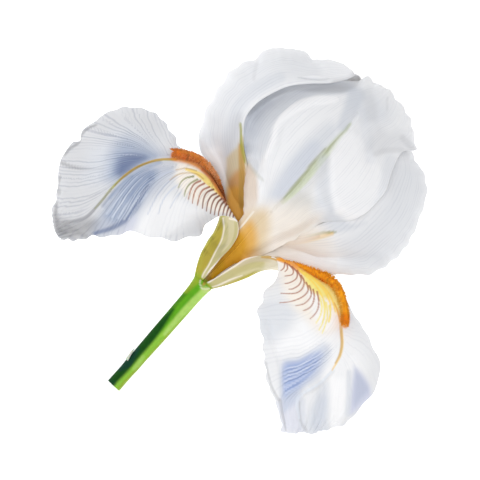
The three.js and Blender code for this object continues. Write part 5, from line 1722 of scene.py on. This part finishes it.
def makeStem(look):
    bpy.ops.object.select_all(action="DESELECT")
    bpy.ops.mesh.primitive_cylinder_add(vertices=look["sides"], radius=1, depth=2, end_fill_type="NGON")
    stem = bpy.context.object
    stem.name = "stem_shaft"
    bpy.context.tool_settings.mesh_select_mode = (False, True, False)
    bpy.ops.object.mode_set(mode="EDIT")
    bpy.ops.mesh.select_all(action="DESELECT")
    bpy.ops.object.mode_set(mode="OBJECT")
    for edge in stem.data.edges:
        low, high = (stem.data.vertices[k].co for k in edge.vertices)
        edge.select = abs(low.z - high.z) > 1
    bpy.ops.object.mode_set(mode="EDIT")
    bpy.ops.mesh.subdivide(number_cuts=look["rings"])
    bpy.context.tool_settings.mesh_select_mode = (False, False, True)
    bpy.ops.mesh.select_all(action="DESELECT")
    bpy.ops.object.mode_set(mode="OBJECT")
    for polygon in stem.data.polygons:  # the cut end
        polygon.select = polygon.normal.z < -0.9
    outerInset, innerInset, pithInset = look["cutEnd"]
    bpy.ops.object.mode_set(mode="EDIT")
    bpy.ops.mesh.inset(thickness=outerInset)
    bpy.ops.mesh.inset(thickness=innerInset)
    bpy.ops.transform.translate(value=(0, 0, look["pithDepth"]))
    bpy.ops.mesh.inset(thickness=pithInset)
    bpy.ops.object.mode_set(mode="OBJECT")
    px, py, pz = verticesOf(stem).T
    x = np.interp(pz, (-1, 1), (look["profile"][0][0], look["profile"][-1][0]))
    radius = np.interp(x, *zip(*look["profile"]))
    bearing = np.arctan2(py, px)
    ridges, height, twist = look["ridges"]
    radius += height * np.cos(ridges * bearing + twist * x)
    points = roundStem(x, np.hypot(px, py) * radius, bearing)
    moveVertices(stem, points)
    faceOutwards()
    addPaint(stem.data, "stemPaint", fullPaint(inPicture(points), look["ground"], look["paint"]))
    stem.data.materials.append(tissue("stem skin", "stemPaint", 0.5, 0.1, specular=0.12, bump=0.25, scale=500))
    bpy.ops.object.shade_smooth_by_angle(angle=math.radians(look["sharpEdge"]))
    settle(stem, "stem")


makeStem(stemLook)
print("stem made")


# The papery scrap on the node.
scrapLook = {
    "start": -43.4,
    "length": 4.8,
    "out": 3.45,
    "curl": 0.35,
    "crinkle": 0.05,
    "ragged": ((0.12, 9, 1), (0.07, 23, 0)),  # its torn edge: two waves' height, count and phase
    "bearing": 70,
    "halfWidth": 28,
    "thickness": 0.3,
}


def makeScrap(look):
    scrap, u, v = startGrid("sheath_scrap_paper", 26, 30)
    ragged = sum(height * np.sin(waves * v + phase) for height, waves, phase in look["ragged"])
    u = u * (1 + ragged * u)
    x = look["start"] + look["length"] * u * (1 - 0.25 * v * v)
    out = look["out"] + look["curl"] * u * u + look["crinkle"] * np.sin(14 * v + 3 * u)
    bearing = np.radians(look["bearing"] + look["halfWidth"] * v * (1 - 0.55 * u))
    points = roundStem(x, out, bearing)
    addPaint(scrap.data, "scrapPaint", fullPaint(inPicture(points), "scrapGrey", []))
    paper = tissue("dry sheath", "scrapPaint", 0.8, 0.3, specular=0.2, bump=0.5, scale=1400)
    finishBlade(scrap, points, 1, [paper, paper], look["thickness"])
    settle(scrap, "sheath_scrap")


makeScrap(scrapLook)
print("sheath scrap made")


# The pistil: a column, and three style arms with upturned crests and a stigma flap.
pistilLook = {
    "ribs": [  # up the flower, out from its axis, half width, arch
        (1.5, 0.4, 0.4, 0.1), (8, 0.9, 0.9, 0.2), (14, 1.9, 1.5, 0.5), (20, 3.4, 2.2, 0.8),
        (27, 6.2, 3.2, 1.1), (34, 11, 4.5, 1.4), (41, 16.5, 5.2, 1.2), (49, 21, 5, 0.2),
    ],
    "bearings": {"left": 48, "right": -48, "under": 180},
    "thickness": 0.6,
    "crest": {"from": 0.82, "height": 3.2, "cleft": 2.4, "curl": 1.2, "fringe": 0.35, "teeth": 26},
    "marks": [
        ("pink", 0.75, None, 18, [(20, -60), (80, -60), (80, 60), (20, 60)]),
        ("gold", 0.9, None, 12, [(-10, -60), (22, -60), (34, 0), (22, 60), (-10, 60)]),
        ("white", 0.7, 2, 8, [(30, 0), (100, 0)]),
    ],
    "flap": {"from": 0.82, "width": 0.62, "length": 1.3, "out": 2.2, "under": 0.2, "thickness": 0.5},
    "column": {
        "line": [(0.4, flower["throatY"], 0), (3, 1.15, 0), (6, 1.05, 0), (9.4, 0.95, 0)],
        "radii": [1.05, 1.0, 0.95, 0.9],
    },
}


def atBearing(up, out, aside, bearing):
    sine, cosine = math.sin(math.radians(bearing)), math.cos(math.radians(bearing))
    y = flower["throatY"] * np.maximum(1 - up / flower["centringLength"], 0)
    return np.stack((up, y + out * sine + aside * cosine, out * cosine - aside * sine), -1)


def makeArm(bearing, material):
    arm, u, v = startGrid("style arm", 90, 36)
    x, out, halfWidth, arch = readRows(pistilLook["ribs"], u).T
    form = pistilLook["crest"]
    crest = np.maximum((u - form["from"]) / 0.18, 0)
    lobes = np.sin(math.pi * np.minimum(np.abs(v) * 1.15, 1))
    peak = crest * (form["height"] * lobes - form["cleft"] * (1 - np.abs(v)))
    fringe = form["fringe"] * crest * np.sin(form["teeth"] * v)
    out = out + arch * v * v - form["curl"] * crest * crest
    points = atBearing(x + peak + fringe, out, halfWidth * v, bearing)
    addPaint(arm.data, "stylePaint", fullPaint(leafPlace(u, v), "cream", pistilLook["marks"]))
    finishBlade(arm, points, 1, [material, material], pistilLook["thickness"])
    return arm


def makeFlap(bearing, material):
    flap, u, v = startGrid("stigma flap", 8, 20)
    form = pistilLook["flap"]
    x, out, halfWidth, arch = readRows(pistilLook["ribs"], np.full(len(u), form["from"])).T
    side = v * form["width"]
    out = out + arch * side * side - form["under"] + form["out"] * u * (1 - 0.3 * v * v)
    points = atBearing(x + form["length"] * u * u, out, halfWidth * side, bearing)
    addPaint(flap.data, "stylePaint", fullPaint(leafPlace(u, v), "cream", []))
    finishBlade(flap, points, 1, [material, material], form["thickness"])
    return flap


offLine = (0.31, 0.12, 0.94)  # a direction that none of the tubes runs in


def makeTube(name, line, radii, squash=1.0, segments=16, rings=40):
    tube, t, angle = startBall(name, segments, rings)
    middle = readRows(line, t)
    along = unit(readRows(line, t + 0.02) - readRows(line, t - 0.02))
    first = unit(np.cross(along, offLine))
    second = np.cross(along, first)
    girth = np.interp(t, np.linspace(0, 1, len(radii)), radii) * np.clip(np.sin(t * math.pi) * 8, 0, 1) ** 0.5
    points = middle + first * (girth * np.cos(angle))[:, None]
    points += second * (girth * squash * np.sin(angle))[:, None]
    moveVertices(tube, points)
    faceOutwards()
    bpy.ops.object.shade_smooth()
    return tube, points


styleMaterial = tissue("style", "stylePaint", 0.55, 0.3, specular=0.3, bump=0.15, scale=700)
column, points = makeTube("pistil_column", **pistilLook["column"])
addPaint(column.data, "stylePaint", fullPaint(points[:, :2], "paleGold", []))
column.data.materials.append(styleMaterial)
parts = [column]
for bearing in pistilLook["bearings"].values():
    parts += [makeArm(bearing, styleMaterial), makeFlap(bearing, styleMaterial)]
pistil = joinAll(parts)
pistil.name = "pistil_arms"
settle(pistil, "pistil")
print("pistil made")


# Stamens: a thread and a two-lobed anther under each style arm.
stamenLook = {
    "ribs": [(0.5, 2.4, 60), (8, 3.1, 60), (14, 4.2, 57), (20, 5.9, 48), (25, 8.3, 46)],
    "thread": 0.4,
    "anther": 9,
    "lobe": 0.55,
}
antherMaterial = tissue("anther", "antherPaint", 0.8, 0.1, specular=0.15, bump=0.6, scale=2500)
for name, bearingOf in (("left", lambda a: a), ("right", lambda a: -a), ("under", lambda a: 180)):
    line = [atBearing(np.float64(x), out, 0, bearingOf(a)) for x, out, a in stamenLook["ribs"]]
    thread, points = makeTube("stamen_" + name + "_thread", line, [stamenLook["thread"]] * 4)
    addPaint(thread.data, "antherPaint", fullPaint(points[:, :2], "cream", []))
    thread.data.materials.append(antherMaterial)
    heading = (line[-1] - line[-2]) / np.linalg.norm(line[-1] - line[-2])
    across = np.cross(heading, offLine)
    across /= np.linalg.norm(across)
    lobes = []
    for turn in (-1, 1):
        centre = line[-1] + heading * stamenLook["anther"] * 0.3 + across * turn * stamenLook["lobe"] * 0.55
        ends = [centre + heading * stamenLook["anther"] * k for k in (-0.5, -0.2, 0.2, 0.5)]
        lobe, points = makeTube("lobe", ends, [stamenLook["lobe"]] * 3, squash=0.9, segments=12, rings=30)
        addPaint(lobe.data, "antherPaint", fullPaint(points[:, :2], "paleGold", []))
        lobe.data.materials.append(antherMaterial)
        lobes.append(lobe)
    settle(joinAll([thread, *lobes]), "stamen_" + name)
print("stamens made")


def makeCamera():
    camera = bpy.data.objects.new("camera", bpy.data.cameras.new("camera"))
    bpy.context.collection.objects.link(camera)
    axes = pictureAxes()
    place = (pictureMiddle() + np.array((0, 0, picture["away"]))) @ axes
    turned = [Vector(toScene(axis) - toScene((0, 0, 0))).normalized() for axis in axes]
    pose = Matrix([[axis[k] for axis in turned] for k in range(3)]).to_4x4()
    camera.matrix_world = Matrix.Translation(toScene(place)) @ pose
    camera.data.sensor_width = picture["sensor"]
    camera.data.lens = picture["sensor"] * picture["away"] / (picture["pixels"] * picture["scale"])
    camera.data.clip_end = picture["clipEnd"]
    bpy.context.scene.camera = camera
    return turned


right, up, toCamera = makeCamera()
print("camera set")

studio = {
    "world": 0.7,
    "key": 5.8,
    "keySize": 0.9,
    "keyAway": 1.4,
    "keyFrom": (-0.05, 0.12, 1.0),  # to the right, up and towards the camera
    "floorSize": 60,
    "floorDrop": 0.0003,
    "floor": {
        "Base Color": (0.9, 0.9, 0.9, 1),
        "Roughness": 0.9,
        "Emission Color": (1, 1, 1, 1),
        "Emission Strength": 0.62,
    },
}
scene = bpy.context.scene
scene.view_settings.view_transform = "Standard"
world = bpy.data.worlds.new("studio")
scene.world = world
world.use_nodes = True
setSockets(world.node_tree.nodes["Background"], {"Color": (1, 1, 1, 1), "Strength": studio["world"]})


def areaLight(name, direction, away, size, watts):
    light = bpy.data.objects.new(name, bpy.data.lights.new(name, "AREA"))
    bpy.context.collection.objects.link(light)
    light.data.size = size
    light.data.energy = watts
    light.location = direction * away
    light.rotation_euler = direction.to_track_quat("Z", "Y").to_euler()


alongRight, alongUp, forward = studio["keyFrom"]
keyWay = (up * alongUp + right * alongRight + toCamera * forward).normalized()
areaLight("key light", keyWay, studio["keyAway"], studio["keySize"], studio["key"])

bpy.ops.object.select_all(action="DESELECT")
bpy.ops.mesh.primitive_plane_add(size=studio["floorSize"], location=(0, 0, -studio["floorDrop"]))
floor = bpy.context.object
floor.name = "floor"
floorLook, tree, shader = newMaterial("pale floor")
setSockets(shader, studio["floor"])
floor.data.materials.append(floorLook)
print("studio lit")
